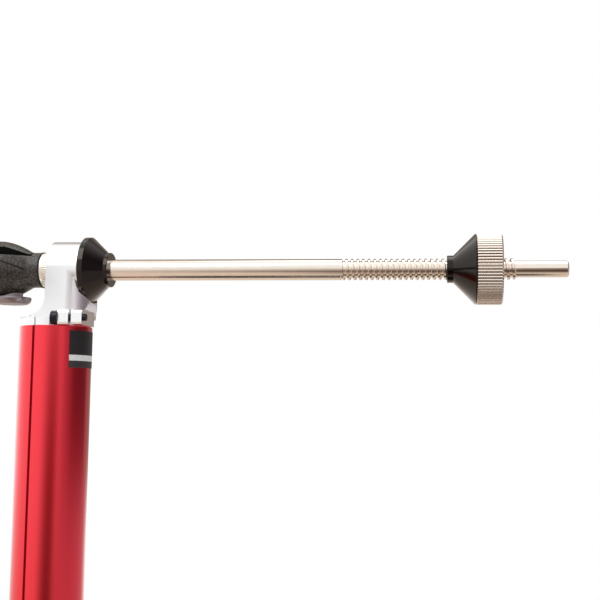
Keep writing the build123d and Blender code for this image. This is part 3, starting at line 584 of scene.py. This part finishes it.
# %% The mast
MAST_WALL_MM = 3.0
MAST_RIM_MM = 0.25
NEAR_MM = 0.01
RIM_TURN_RAD = 0.5
UPRIGHT = 0.5
SKIN_MM = 0.1
bmesh.ops.create_circle(
    bm, segments=MAST_STEPS // 2, radius=mast_radius - MAST_WALL_MM * MM,
    matrix=Matrix.Translation((mast_x, 0, mast_low)),
)
bmesh.ops.triangle_fill(bm, use_beauty=True, edges=bm.edges[:])
raised = bmesh.ops.extrude_face_region(bm, geom=bm.faces[:], use_keep_orig=True)
top = [g for g in raised["geom"] if isinstance(g, bmesh.types.BMVert)]
bmesh.ops.translate(bm, vec=Z_AXIS * (mast_high - mast_low), verts=top)
bmesh.ops.recalc_face_normals(bm, faces=bm.faces[:])
near_top = mast_high - NEAR_MM * MM
rim = [
    e for e in bm.edges
    if all(v.co.z > near_top for v in e.verts) and len(e.link_faces) == 2 and e.calc_face_angle() > RIM_TURN_RAD
]
bmesh.ops.bevel(
    bm, geom=rim, offset=MAST_RIM_MM * MM, offset_type="OFFSET", segments=2, profile=0.5, affect="EDGES",
    material=-1,
)
outer_skin = mast_radius - SKIN_MM * MM
bore_skin = mast_radius - (MAST_WALL_MM - SKIN_MM) * MM
# Upright faces inside the tube's skin are the groove's floor and walls; they take the painted-shade material.
for face in bm.faces:
    spot = face.calc_center_median() - Vector((mast_x, 0, 0))
    if bore_skin < Vector((spot.x, spot.y)).length < outer_skin and abs(face.normal.z) < UPRIGHT:
        face.material_index = 1
piece = finish_piece(bm, "mast_tube", red_anodised, ["mast"], "stand")
piece.data.materials.append(groove_shade_anodised)

# %% [markdown]
# ## The left cone
# The cones centre what is clamped between them. The left one sits fixed on the head. It is turned with a nose, a
# slope, a short straight band and a flat back. Its place comes from the solid, its nose ends a touch sooner, and
# its bore clears the axle by a hair. Fine steps keep the mirrored room smooth round it.

# %% Left cone
def span_mm(node, axis):
    """Where a node starts and ends along an axis, to a hundredth of a millimetre."""
    return [round(corner.dot(axis) / MM, 2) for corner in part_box(node)]


ROUND_STEPS = 96
AXLE_BORE_MM = 4.55
LEFT_CONE_RADIUS_MM = 14.0
LEFT_CONE_EDGE_MM = 0.3
LEFT_CONE_BAND_MM = 2.4
LEFT_CONE_SHOULDER_MM = 0.4
LEFT_NOSE_RADIUS_MM = 7.4
LEFT_NOSE_MM = 1.6
LEFT_NOSE_EDGE_MM = 0.2
back, nose = span_mm("left_cone", X_AXIS)
nose -= LEFT_NOSE_EDGE_MM
slope_from = back + LEFT_CONE_BAND_MM + LEFT_CONE_SHOULDER_MM
bm = spin_profile(
    [
        (back, AXLE_BORE_MM), (back, LEFT_CONE_RADIUS_MM - LEFT_CONE_EDGE_MM),
        (back + LEFT_CONE_EDGE_MM, LEFT_CONE_RADIUS_MM), (back + LEFT_CONE_BAND_MM, LEFT_CONE_RADIUS_MM),
        (slope_from, LEFT_CONE_RADIUS_MM - LEFT_CONE_SHOULDER_MM), (nose - LEFT_NOSE_MM, LEFT_NOSE_RADIUS_MM),
        (nose - LEFT_NOSE_EDGE_MM, LEFT_NOSE_RADIUS_MM), (nose, LEFT_NOSE_RADIUS_MM - LEFT_NOSE_EDGE_MM),
        (nose, AXLE_BORE_MM),
    ],
    X_AXIS, axle_centre, ROUND_STEPS,
)
finish_piece(bm, "left_cone_turned", blackened_steel, ["left_cone"], "stand")

# %% [markdown]
# ## The fine-knurled collar
# The collar closes the quick release against the head. It is spun with eight steps to a crest, so that crests fall
# on vertices, and then fluted. Its knurl starts past a plain band.

# %% Fine-knurled collar
COLLAR_RADIUS_MM = 7.4
COLLAR_BORE_MM = 3.55
COLLAR_EDGE_MM = 0.3
COLLAR_BAND_MM = 1.2
COLLAR_RUN_IN_MM = 0.15
COLLAR_FLUTES = 54
COLLAR_FLUTE_MM = 0.14
COLLAR_RIM_MM = 7.0
collar_from, collar_to = span_mm("knurled_collar", X_AXIS)
band_to = collar_from + COLLAR_BAND_MM
bm = spin_profile(
    [
        (collar_from, COLLAR_BORE_MM), (collar_from, COLLAR_RADIUS_MM - COLLAR_EDGE_MM),
        (collar_from + COLLAR_EDGE_MM, COLLAR_RADIUS_MM), (band_to, COLLAR_RADIUS_MM),
        (band_to + COLLAR_RUN_IN_MM, COLLAR_RADIUS_MM), (collar_to - COLLAR_EDGE_MM, COLLAR_RADIUS_MM),
        (collar_to, COLLAR_RADIUS_MM - COLLAR_EDGE_MM), (collar_to, COLLAR_BORE_MM),
    ],
    X_AXIS, axle_centre, COLLAR_FLUTES * STEPS_PER_CREST,
)
flute(
    bm, X_AXIS, axle_centre, COLLAR_FLUTES, COLLAR_FLUTE_MM, COLLAR_RIM_MM, from_mm=band_to + COLLAR_RUN_IN_MM / 2
)
finish_piece(bm, "fine_knurled_collar", fine_knurl, ["knurled_collar"], "stand")

# %% [markdown]
# ## The right cone
# The right cone travels with the nut. Its nose is slim, and its slope runs out to a keen edge that is only just
# broken, which catches a fine line of light.

# %% Right cone
RIGHT_CONE_RADIUS_MM = 15.0
RIGHT_CONE_EDGE_MM = 0.1
RIGHT_CONE_BREAK_MM = 0.3
RIGHT_NOSE_RADIUS_MM = 5.8
RIGHT_NOSE_MM = 2.7
RIGHT_NOSE_EDGE_MM = 0.3
nose, back = span_mm("right_cone", X_AXIS)
bm = spin_profile(
    [
        (nose, AXLE_BORE_MM), (nose, RIGHT_NOSE_RADIUS_MM - RIGHT_NOSE_EDGE_MM),
        (nose + RIGHT_NOSE_EDGE_MM, RIGHT_NOSE_RADIUS_MM), (nose + RIGHT_NOSE_MM, RIGHT_NOSE_RADIUS_MM),
        (back - RIGHT_CONE_BREAK_MM, RIGHT_CONE_RADIUS_MM - RIGHT_CONE_EDGE_MM),
        (back - RIGHT_CONE_EDGE_MM, RIGHT_CONE_RADIUS_MM), (back, RIGHT_CONE_RADIUS_MM - RIGHT_CONE_EDGE_MM),
        (back, AXLE_BORE_MM),
    ],
    X_AXIS, axle_centre, ROUND_STEPS,
)
finish_piece(bm, "right_cone_turned", blackened_steel, ["right_cone"], "cone")

# %% [markdown]
# ## The knurled nut
# The nut drives the right cone along the thread. It has a bolder knurl for the fingers over its whole width,
# chamfers on both sides and a countersunk bore.

# %% Knurled cone nut
FLUTE_MM = 0.45
NUT_RADIUS_MM = 15.0
NUT_RIM_MM = 14.0
NUT_CHAMFER_LONG_MM = 0.55
NUT_CHAMFER_MM = 0.5
NUT_SINK_LONG_MM = 0.7
NUT_SINK_MM = 0.75
NUT_FLUTES = 72
near, far = span_mm("cone_nut", X_AXIS)
bm = spin_profile(
    [
        (near, AXLE_BORE_MM), (near, NUT_RADIUS_MM - NUT_CHAMFER_MM), (near + NUT_CHAMFER_LONG_MM, NUT_RADIUS_MM),
        (far - NUT_CHAMFER_LONG_MM, NUT_RADIUS_MM), (far, NUT_RADIUS_MM - NUT_CHAMFER_MM),
        (far, AXLE_BORE_MM + NUT_SINK_MM), (far - NUT_SINK_LONG_MM, AXLE_BORE_MM),
    ],
    X_AXIS, axle_centre, NUT_FLUTES * STEPS_PER_CREST,
)
flute(bm, X_AXIS, axle_centre, NUT_FLUTES, FLUTE_MM, NUT_RIM_MM)
finish_piece(bm, "knurled_nut", coarse_knurl, ["cone_nut"], "nut")

# %% [markdown]
# ## A true screw thread
# A thread is one tooth swept round the axle while it moves along by one pitch a turn. The spin operator does this
# when it is given a step along the axis as well. Neighbouring turns then share their edges, and a flat cut at each
# end leaves a closed loop from which the plain parts of the rod are drawn out.

# %% A true screw thread
TURN_MERGE_MM = 0.002
THREAD_SMOOTH_DEG = 35.0


def thread_rod(centre, axis, pitch_mm, root_mm, crest_mm, low_mm, high_mm, steps_per_turn):
    """A bmesh of a helical thread between two flat cuts, with a tooth drawn in sixths of its pitch."""
    bm = bmesh.new()
    side = across(axis)
    sixth = pitch_mm / 6
    begin = low_mm - pitch_mm
    tooth = [
        (begin, crest_mm), (begin + sixth, root_mm), (begin + sixth * 3, root_mm), (begin + sixth * 4, crest_mm),
        (begin + pitch_mm, crest_mm),
    ]
    verts = [bm.verts.new(centre + axis * along * MM + side * radius * MM) for along, radius in tooth]
    edges = [bm.edges.new(pair) for pair in zip(verts, verts[1:])]
    turns = math.ceil((high_mm - low_mm) / pitch_mm) + 1
    bmesh.ops.spin(
        bm, geom=verts + edges, cent=centre, axis=axis, dvec=axis * (pitch_mm * MM / steps_per_turn),
        angle=2 * math.pi * turns, steps=turns * steps_per_turn,
    )
    bmesh.ops.remove_doubles(bm, verts=bm.verts[:], dist=TURN_MERGE_MM * MM)
    for place_mm, normal in ((low_mm, -axis), (high_mm, axis)):
        cut(bm, centre + axis * place_mm * MM, normal)
    return bm


def draw_out(bm, centre, axis, from_mm, stations):
    """Draws the open loop at one end of a rod through (along, radius) stations and closes it."""
    loop = [
        e for e in bm.edges
        if e.is_boundary and all(abs((v.co - centre).dot(axis) - from_mm * MM) < NEAR_MM * MM for v in e.verts)
    ]
    for along, radius in stations:
        moved = bmesh.ops.extrude_edge_only(bm, edges=loop)["geom"]
        loop = [g for g in moved if isinstance(g, bmesh.types.BMEdge)]
        for v in [g for g in moved if isinstance(g, bmesh.types.BMVert)]:
            offset = v.co - centre
            radial = offset - axis * offset.dot(axis)
            v.co = centre + axis * along * MM + radial.normalized() * radius * MM
    bmesh.ops.holes_fill(bm, edges=loop, sides=0)


print("threads are cut flat and drawn out into plain rod")

# %% [markdown]
# ## The axle
# The axle is nickel-plated steel: a neck inside the release, a long plain stretch, the coarse thread and a plain
# end with a rounded tip. Its left end stops a hair short of the cam's yoke, so that the two faces do not meet.

# %% The axle
AXLE_PITCH_MM = 2.4
AXLE_ROOT_MM = 3.5
AXLE_CREST_MM = 4.5
AXLE_STEPS = 48
AXLE_THREAD_MM = (26.0, 99.0)
RUN_OUT_MM = 0.4
NECK_TO_MM = -79.0
YOKE_GAP_MM = 0.1
AXLE_TIP_MM = ((0.7, 3.5), (0.2, 3.2), (0.0, 2.8))    # back from the end, radius
thread_from, thread_to = AXLE_THREAD_MM
axle_from, axle_to = span_mm("axle_rod", X_AXIS)
bm = thread_rod(
    axle_centre, X_AXIS, AXLE_PITCH_MM, AXLE_ROOT_MM, AXLE_CREST_MM, thread_from, thread_to, AXLE_STEPS
)
draw_out(
    bm, axle_centre, X_AXIS, thread_from,
    [
        (thread_from - RUN_OUT_MM, AXLE_CREST_MM), (NECK_TO_MM, AXLE_CREST_MM), (NECK_TO_MM, AXLE_ROOT_MM),
        (axle_from + YOKE_GAP_MM, AXLE_ROOT_MM),
    ],
)
draw_out(
    bm, axle_centre, X_AXIS, thread_to,
    [(thread_to + RUN_OUT_MM, AXLE_ROOT_MM)] + [(axle_to - back_mm, radius) for back_mm, radius in AXLE_TIP_MM],
)
bmesh.ops.recalc_face_normals(bm, faces=bm.faces[:])
finish_piece(bm, "threaded_axle", nickel_plate, ["axle_rod"], "axle", smooth_deg=THREAD_SMOOTH_DEG)

# %% [markdown]
# ## Threaded feeler rods
# The two feelers are fine-threaded rods that the knurled knobs drive. The same helix makes them, with a pitch of
# one millimetre. Each is closed with a small chamfer at its ends.

# %% Threaded feeler rods
FEELER_PITCH_MM = 1.0
FEELER_ROOT_MM = 2.55
FEELER_CREST_MM = 3.0
FEELER_STEPS = 24
END_CHAMFER_MM = 0.5


def feeler_rod(node, axis):
    """A threaded rod in a node's place along an axis."""
    low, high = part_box(node)
    centre = (low + high) / 2
    centre -= axis * centre.dot(axis)
    start, end = low.dot(axis) / MM, high.dot(axis) / MM
    inner_start = start + END_CHAMFER_MM
    inner_end = end - END_CHAMFER_MM
    bm = thread_rod(
        centre, axis, FEELER_PITCH_MM, FEELER_ROOT_MM, FEELER_CREST_MM, inner_start, inner_end, FEELER_STEPS
    )
    draw_out(bm, centre, axis, inner_start, [(start, FEELER_ROOT_MM - END_CHAMFER_MM)])
    draw_out(bm, centre, axis, inner_end, [(end, FEELER_ROOT_MM - END_CHAMFER_MM)])
    bmesh.ops.recalc_face_normals(bm, faces=bm.faces[:])
    finish_piece(
        bm, node + "_threaded", nickel_plate, [node], body_of[node], smooth_deg=THREAD_SMOOTH_DEG
    )


feeler_rod("lateral_rod", X_AXIS)
feeler_rod("radial_rod", Z_AXIS)

# %% [markdown]
# ## Feeler knobs
# Each knob is a small turned disc with a straight knurl, a chamfer on both rims and a shallow dish in its faces.
# The dish keeps the thumb's edge crisp and catches a ring of light.

# %% Feeler knobs
KNOB_CRESTS = 44
KNOB_CHAMFER_MM = 0.8
KNOB_DISH_MM = 0.6
KNOB_DISH_TOP_MM = 0.9
KNOB_DISH_FOOT_MM = 1.6
KNOB_BORE_MM = 3.05


def feeler_knob(node, axis):
    """A knurled and dished disc in a node's place along an axis."""
    low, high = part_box(node)
    centre = (low + high) / 2
    half = (high - low).dot(axis) / 2 / MM
    radius = (high - low).dot(across(axis)) / 2 / MM
    dish = half - KNOB_DISH_MM
    rim = radius - KNOB_CHAMFER_MM
    dish_foot, dish_top = rim - KNOB_DISH_FOOT_MM, rim - KNOB_DISH_TOP_MM
    bm = spin_profile(
        [
            (-dish, KNOB_BORE_MM), (-dish, dish_foot), (-half, dish_top), (-half, rim),
            (KNOB_CHAMFER_MM - half, radius), (half - KNOB_CHAMFER_MM, radius), (half, rim), (half, dish_top),
            (dish, dish_foot), (dish, KNOB_BORE_MM),
        ],
        axis, centre, KNOB_CRESTS * STEPS_PER_CREST,
    )
    flute(bm, axis, centre, KNOB_CRESTS, FLUTE_MM, radius - KNOB_CHAMFER_MM / 2)
    finish_piece(bm, node + "_knurled", coarse_knurl, [node], body_of[node])


feeler_knob("lateral_knob", X_AXIS)
feeler_knob("radial_knob", Z_AXIS)

# %% [markdown]
# ## The quick release's seal and painted shadow wedge
# A thin black seal closes the joint between the release body and the bright collar. Under the lever's cap, where
# the gap between lever and body lies in shade, sits a near-black wedge of painted shadow: a round disc that is cut
# off along the cap's sloping underside, so it is a wedge from the side. The cut leaves an open ring, which is
# filled with triangles.

# %% Seal ring
SEAL_RADIUS_MM = 7.7
SEAL_BORE_MM = 6.9
SEAL_EDGE_MM = 0.2
SEAL_BEFORE_MM = 0.6
SEAL_OVER_MM = 0.2
seal_from = collar_from - SEAL_BEFORE_MM
seal_to = collar_from + SEAL_OVER_MM
bm = spin_profile(
    [
        (seal_from, SEAL_BORE_MM), (seal_from, SEAL_RADIUS_MM - SEAL_EDGE_MM),
        (seal_from + SEAL_EDGE_MM, SEAL_RADIUS_MM), (seal_to - SEAL_EDGE_MM, SEAL_RADIUS_MM),
        (seal_to, SEAL_RADIUS_MM - SEAL_EDGE_MM), (seal_to, SEAL_BORE_MM),
    ],
    X_AXIS, axle_centre, ROUND_STEPS,
)
finish_piece(bm, "release_seal_ring", foot_rubber, [], "stand")

# %% Painted shadow wedge
SHADOW_WEDGE_RADIUS_MM = 9.5
SHADOW_WEDGE_BORE_MM = 3.05
SHADOW_WEDGE_STEPS = 64
CAP_RADIUS_MM = 9.7
pivot = Vector((middle("cam_barrel").x, 0, 0))
shadow_wedge_low = axle_height_mm + 5.6
shadow_wedge_rim = axle_height_mm + 5.95
shadow_wedge_high = axle_height_mm + 9.0
bm = spin_profile(
    [(shadow_wedge_low, SHADOW_WEDGE_BORE_MM), (shadow_wedge_low, SHADOW_WEDGE_RADIUS_MM), (shadow_wedge_high, SHADOW_WEDGE_RADIUS_MM), (shadow_wedge_high, SHADOW_WEDGE_BORE_MM)],
    Z_AXIS, pivot, SHADOW_WEDGE_STEPS,
)
slope = Vector((shadow_wedge_high - shadow_wedge_rim, 0, CAP_RADIUS_MM)).normalized()
cut(bm, pivot + Z_AXIS * shadow_wedge_high * MM, slope)
bmesh.ops.triangle_fill(bm, use_beauty=True, edges=[e for e in bm.edges if e.is_boundary])
bmesh.ops.recalc_face_normals(bm, faces=bm.faces[:])
# The wedge is painted shadow: a near-black piece set in the shaded gap under the lever's cap.
finish_piece(bm, "lever_shadow_wedge", painted_shadow_black, [], "lever")

# %% [markdown]
# ## The parting line of the casting
# The release body is cast in two halves, and a thin line is left where they met. It is scored along a sloping
# plane: three cuts lay a strip of faces round the body, and the middle row is pushed in on the user's side, less
# and less towards both ends. The strip takes the darker seam material, which is painted shade in the crease.

# %% The parting line of the casting
SCORE_NORMAL = Vector((0.36, 0, 1)).normalized()
SCORE_PLACE = Vector((-113.5, 0, axle_height_mm + 1.5)) * MM
SCORE_WIDTH_MM = 0.6
SCORE_DEPTH_MM = 0.3
SCORE_FROM_MM, SCORE_TO_MM = -123.0, -107.4
SCORE_FADE_MM = 1.5
USER_SIDE_MM = -6.0
ON_PLANE_MM = 0.001


def score(bm):
    """Cuts a thin V into the user's side of the release body."""
    half_mm = SCORE_WIDTH_MM / 2
    for shift_mm in (-half_mm, 0, half_mm):
        cut(bm, SCORE_PLACE + SCORE_NORMAL * shift_mm * MM, SCORE_NORMAL, drop=False)
    for v in bm.verts:
        if abs((v.co - SCORE_PLACE).dot(SCORE_NORMAL)) > ON_PLANE_MM * MM or v.co.y > USER_SIDE_MM * MM:
            continue
        to_end = min(v.co.x / MM - SCORE_FROM_MM, SCORE_TO_MM - v.co.x / MM)
        v.co.y += SCORE_DEPTH_MM * MM * max(0.0, min(1.0, to_end / SCORE_FADE_MM))
    # Faces of the strip on the user's side take the second material: painted shade in the crease.
    for face in bm.faces:
        spot = face.calc_center_median()
        in_strip = abs((spot - SCORE_PLACE).dot(SCORE_NORMAL)) < half_mm * MM
        if in_strip and spot.y < USER_SIDE_MM * MM and SCORE_FROM_MM * MM < spot.x < SCORE_TO_MM * MM:
            face.material_index = 1


print("the parting line is", SCORE_WIDTH_MM, "mm wide")

# %% [markdown]
# ## Softened edges
# No cast, milled or moulded piece has a truly sharp edge: the broken edge catches a line of light. The remaining
# pieces have the right shape already, so each starts as a copy of its solid. The copy is loose triangles, so it is
# merged first, its flat faces are joined, and then every edge that turns sharply is bevelled by a width that suits
# the piece. The lever's handle is rounded more, for the hand.

# %% Softened edges
FLAT_DEG = 0.3
HANDLE_TO_MM = round(pivot.x / MM, 1) - 18.0
HANDLE_ROUND_MM = 1.4
HANDLE_SEGMENTS = 3
EDGE_ROUND_MM = {
    "head_casting": 0.35, "release_body": 0.3, "release_lever": 0.4, "cam_barrel": 0.15, "pinch_screw": 0.12,
    "base_plate": 0.3, "mast_socket": 0.4, "carriage_block": 0.3, "caliper_arm": 0.4, "lock_knob": 0.7,
    "socket_screws": 0.15, "clamp_screws": 0.15, "foot_screws": 0.12, "socket_nuts": 0.2, "clamp_nuts": 0.2,
    "hinge_pin": 0.2, "radial_blade": 0.3, "blade_screw": 0.1,
}


def on_handle(edge):
    """Whether an edge of the lever lies on its handle."""
    return all(v.co.x < HANDLE_TO_MM * MM for v in edge.verts)


for node, width_mm in EDGE_ROUND_MM.items():
    bm = bmesh.new()
    bm.from_mesh(nodes[node].data)
    bmesh.ops.remove_doubles(bm, verts=bm.verts[:], dist=MERGE_MM * MM)
    bmesh.ops.dissolve_limit(
        bm, angle_limit=math.radians(FLAT_DEG), use_dissolve_boundaries=False, verts=bm.verts[:], edges=bm.edges[:],
        delimit={"NORMAL"},
    )
    if node == "release_lever":
        bevel_sharp(bm, HANDLE_ROUND_MM, HANDLE_SEGMENTS, on_handle)
    bevel_sharp(bm, width_mm)
    if node == "release_body":
        score(bm)
    piece = finish_piece(bm, node + "_softened", finishes[node], [node], body_of[node])
    if node == "release_body":
        piece.data.materials.append(seam_shade)

# %% [markdown]
# ## The light around the stand
# The photograph is a product shot in a white tent. The world is white to the camera. Shiny surfaces see it white
# too, but for some shades, as a dim room shows through the tent's openings: a brown one before the stand, darker
# near the bench, a lilac one at the right with a darker one above the horizon, a brownish grey one behind, and a
# beige bench below. Those shades are what gives bright metal its form. Directions are turned into degrees: a turn
# about the upright, reckoned from the user's side or from behind, and a height above the horizon. Each shade then
# has four turns and four heights, between which it rises, stays and fades.

# %% A soft range
NO_START = (-999, -998)
NO_END = (998, 999)


def between(tree, value, rise_from, rise_to, fall_from, fall_to):
    """A socket that is 1 inside a range and 0 outside it, with soft edges."""
    edges = []
    for low, high in ((rise_from, rise_to), (fall_to, fall_from)):
        edge = add_node(
            tree, "ShaderNodeMapRange", settings={"interpolation_type": "SMOOTHSTEP"},
            values={"From Min": low, "From Max": high}, links={"Value": value},
        )
        edges.append(edge.outputs["Result"])
    inside = add_node(
        tree, "ShaderNodeMath", settings={"operation": "MULTIPLY"}, links={0: edges[0], 1: edges[1]}
    )
    return inside.outputs["Value"]


print("a range without a start rises before", NO_START[1])

# %% Directions in degrees
world = bpy.data.worlds.new("white_tent")
bpy.context.scene.world = world
world.use_nodes = True
tree = world.node_tree
tree.nodes.clear()
look = add_node(tree, "ShaderNodeTexCoord")
parts = add_node(tree, "ShaderNodeSeparateXYZ", links={"Vector": look.outputs["Generated"]})
towards_user = add_node(
    tree, "ShaderNodeMath", settings={"operation": "MULTIPLY"}, values={1: -1.0}, links={0: parts.outputs["Y"]}
)
turn_from = {}
for side, ahead in (("front", towards_user.outputs["Value"]), ("rear", parts.outputs["Y"])):
    angle = add_node(
        tree, "ShaderNodeMath", settings={"operation": "ARCTAN2"}, links={0: parts.outputs["X"], 1: ahead}
    )
    turn = add_node(tree, "ShaderNodeMath", settings={"operation": "DEGREES"}, links={0: angle.outputs["Value"]})
    turn_from[side] = turn.outputs["Value"]
rise = add_node(tree, "ShaderNodeMath", settings={"operation": "ARCSINE"}, links={0: parts.outputs["Z"]})
height = add_node(tree, "ShaderNodeMath", settings={"operation": "DEGREES"}, links={0: rise.outputs["Value"]})
print("turns are reckoned from the", " and the ".join(turn_from))

# %% The tent and its shades
AMBIENT = 0.62
TENT = 1.1
SHADES = [
    ("#e6d8cd", "front", NO_START + NO_END, NO_START + (-14, -3)),
    ("#c6bac1", "front", (30, 54, 150, 170), (-62, -46, 40, 60)),
    ("#5d5357", "front", (36, 92, 130, 160), (-6.5, -2, 25, 50)),
    ("#816b62", "front", (-26, 14, 20, 52), (-62, -50, -4, 14)),
    ("#4a3b31", "front", (-22, 0, 40, 60), (-62, -50, -26, -8)),
    ("#94877c", "rear", (-40, -25, 25, 40), (-8, -2, 55, 72)),
]
tint = None
for code, side, turns, heights in SHADES:
    amount = add_node(
        tree, "ShaderNodeMath", settings={"operation": "MULTIPLY"},
        links={0: between(tree, turn_from[side], *turns), 1: between(tree, height.outputs["Value"], *heights)},
    )
    mix = add_node(
        tree, "ShaderNodeMix", settings={"data_type": "RGBA"}, values={MIX_FIRST: WHITE, MIX_SECOND: linear(code)},
        links={"Factor": amount.outputs["Value"]},
    )
    if tint is not None:
        tree.links.new(tint, mix.inputs[MIX_FIRST])
    tint = mix.outputs[MIX_RESULT]
path = add_node(tree, "ShaderNodeLightPath")
shiny = add_node(
    tree, "ShaderNodeMath", settings={"operation": "MAXIMUM"},
    links={0: path.outputs["Is Glossy Ray"], 1: path.outputs["Is Transmission Ray"]},
)
ambient = add_node(tree, "ShaderNodeBackground", values={"Color": WHITE, "Strength": AMBIENT})
tent = add_node(tree, "ShaderNodeBackground", values={"Strength": TENT}, links={"Color": tint})
white = add_node(tree, "ShaderNodeBackground", values={"Color": WHITE, "Strength": 1.0})
mixed = add_node(
    tree, "ShaderNodeMixShader",
    links={"Fac": shiny.outputs["Value"], 1: ambient.outputs["Background"], 2: tent.outputs["Background"]},
)
seen = add_node(
    tree, "ShaderNodeMixShader",
    links={"Fac": path.outputs["Is Camera Ray"], 1: mixed.outputs["Shader"], 2: white.outputs["Background"]},
)
add_node(tree, "ShaderNodeOutputWorld", links={"Surface": seen.outputs["Shader"]})
print("world has", len(tree.nodes), "nodes")

# %% [markdown]
# ## Lamps
# Two big softboxes stand in for the lamps behind the tent's cloth: a key light high at the user's left, and a
# weaker one above and behind. Large lamps give the soft shadow and the broad highlights of a product shot.

# %% Lamps
SOFTBOX_MM = 800
LIT_PLACE_MM = Vector((0, 0, 300))
SOFTBOXES = [("key_softbox", Vector((-560, -670, 1330)), 6.0), ("top_softbox", Vector((200, 150, 1500)), 3.5)]
for name, place_mm, watts in SOFTBOXES:
    lamp = bpy.data.lights.new(name, "AREA")
    lamp.shape = "SQUARE"
    lamp.size = SOFTBOX_MM * MM
    lamp.energy = watts
    box = bpy.data.objects.new(name, lamp)
    bpy.context.scene.collection.objects.link(box)
    box.location = place_mm * MM
    box.rotation_euler = (LIT_PLACE_MM - place_mm).normalized().to_track_quat("-Z", "Y").to_euler()
    print(name, "at", watts, "W")

# %% [markdown]
# ## Floor
# The floor is a round sheet of paper that keeps the shadow and fades to the white around it. Bright metal mirrors
# the bench that it stands on, which is beige near the stand and darker towards the user. The floor shows that tone
# to mirrored rays alone, and stays white paper to the camera.

# %% The sheet
FLOOR_RADIUS = 0.55
bm = bmesh.new()
bmesh.ops.create_circle(bm, cap_ends=True, cap_tris=False, segments=ROUND_STEPS, radius=FLOOR_RADIUS)
sheet = bpy.data.meshes.new("pale_floor")
bm.to_mesh(sheet)
bm.free()
floor = bpy.data.objects.new("pale_floor", sheet)
bpy.context.scene.collection.objects.link(floor)
print("the sheet is", 2 * FLOOR_RADIUS, "m across")

# %% The paper, to the camera and to mirrors
PAPER = "#f4f4f4"
FADE_START = 0.30
FADE_END = 0.50
BENCH_NEAR = "#eedccd"
BENCH_FRONT = "#7d685a"
FRONT_SHADE_M = (0.12, 0.42)
RIGHT_SHADE_M = (-0.12, 0.03)
PAST_FLOOR_M = (2, 3)
floor_paper, tree, shader = start_material("matte_white_paper", Roughness=0.9)
shader.inputs["Base Color"].default_value = linear(PAPER)
place = add_node(tree, "ShaderNodeTexCoord")
reach = add_node(
    tree, "ShaderNodeVectorMath", settings={"operation": "LENGTH"}, links={0: place.outputs["Object"]}
)
fade = add_node(
    tree, "ShaderNodeMapRange", settings={"interpolation_type": "SMOOTHSTEP"},
    values={"From Min": FADE_START, "From Max": FADE_END}, links={"Value": reach.outputs["Value"]},
)
path = add_node(tree, "ShaderNodeLightPath")
glow = add_node(tree, "ShaderNodeEmission", values={"Color": WHITE, "Strength": 1.0})
lift = add_node(
    tree, "ShaderNodeMath", settings={"operation": "MULTIPLY"},
    links={0: fade.outputs["Result"], 1: path.outputs["Is Camera Ray"]},
)
paper = add_node(
    tree, "ShaderNodeMixShader",
    links={"Fac": lift.outputs["Value"], 1: shader.outputs["BSDF"], 2: glow.outputs["Emission"]},
)
parts = add_node(tree, "ShaderNodeSeparateXYZ", links={"Vector": place.outputs["Object"]})
towards_user = add_node(
    tree, "ShaderNodeMath", settings={"operation": "MULTIPLY"}, values={1: -1.0}, links={0: parts.outputs["Y"]}
)
shaded = add_node(
    tree, "ShaderNodeMath", settings={"operation": "MULTIPLY"},
    links={
        0: between(tree, towards_user.outputs["Value"], *FRONT_SHADE_M, *PAST_FLOOR_M),
        1: between(tree, parts.outputs["X"], *RIGHT_SHADE_M, *PAST_FLOOR_M),
    },
)
bench = add_node(
    tree, "ShaderNodeMix", settings={"data_type": "RGBA"},
    values={MIX_FIRST: linear(BENCH_NEAR), MIX_SECOND: linear(BENCH_FRONT)},
    links={"Factor": shaded.outputs["Value"]},
)
mirrored = add_node(
    tree, "ShaderNodeEmission", values={"Strength": 1.0}, links={"Color": bench.outputs[MIX_RESULT]}
)
blend = add_node(
    tree, "ShaderNodeMixShader",
    links={"Fac": path.outputs["Is Glossy Ray"], 1: paper.outputs["Shader"], 2: mirrored.outputs["Emission"]},
)
tree.links.new(blend.outputs["Shader"], tree.nodes["Material Output"].inputs["Surface"])
sheet.materials.append(floor_paper)
print("paper with", len(tree.nodes), "nodes")

# %% [markdown]
# ## Camera
# The photograph was taken from close by, a little below the axle and looking up, with the picture's edge cropped.
# The camera's place and turns were found by matching the axle, the nut and the mast, so they are plain numbers
# here. A small sideways shift of the lens stands in for the crop.

# %% Camera
CAMERA_PLACE_MM = Vector((67.6, -429.8, 344.1))
CAMERA_YAW_DEG = 2.803
CAMERA_PITCH_DEG = 5.697
CAMERA_ROLL_DEG = 0.213
LENS_MM = 61.557
SIDE_SHIFT = -0.15
NEAREST_SEEN_MM = 10
yaw, pitch, roll = (math.radians(a) for a in (CAMERA_YAW_DEG, CAMERA_PITCH_DEG, CAMERA_ROLL_DEG))
aim = Vector((-math.sin(yaw) * math.cos(pitch), math.cos(yaw) * math.cos(pitch), math.sin(pitch)))
level = Vector((math.cos(yaw), math.sin(yaw), 0))
upward = level.cross(aim)
right = level * math.cos(roll) + upward * math.sin(roll)
above = upward * math.cos(roll) - level * math.sin(roll)
lens = bpy.data.cameras.new("photo_camera")
lens.lens = LENS_MM
lens.shift_x = SIDE_SHIFT
lens.clip_start = NEAREST_SEEN_MM * MM
camera = bpy.data.objects.new("photo_camera", lens)
bpy.context.scene.collection.objects.link(camera)
turned = Matrix((right, above, -aim)).transposed().to_4x4()
camera.matrix_world = Matrix.Translation(CAMERA_PLACE_MM * MM) @ turned
bpy.context.scene.camera = camera
bpy.context.scene.view_settings.view_transform = "Standard"
print("camera placed")
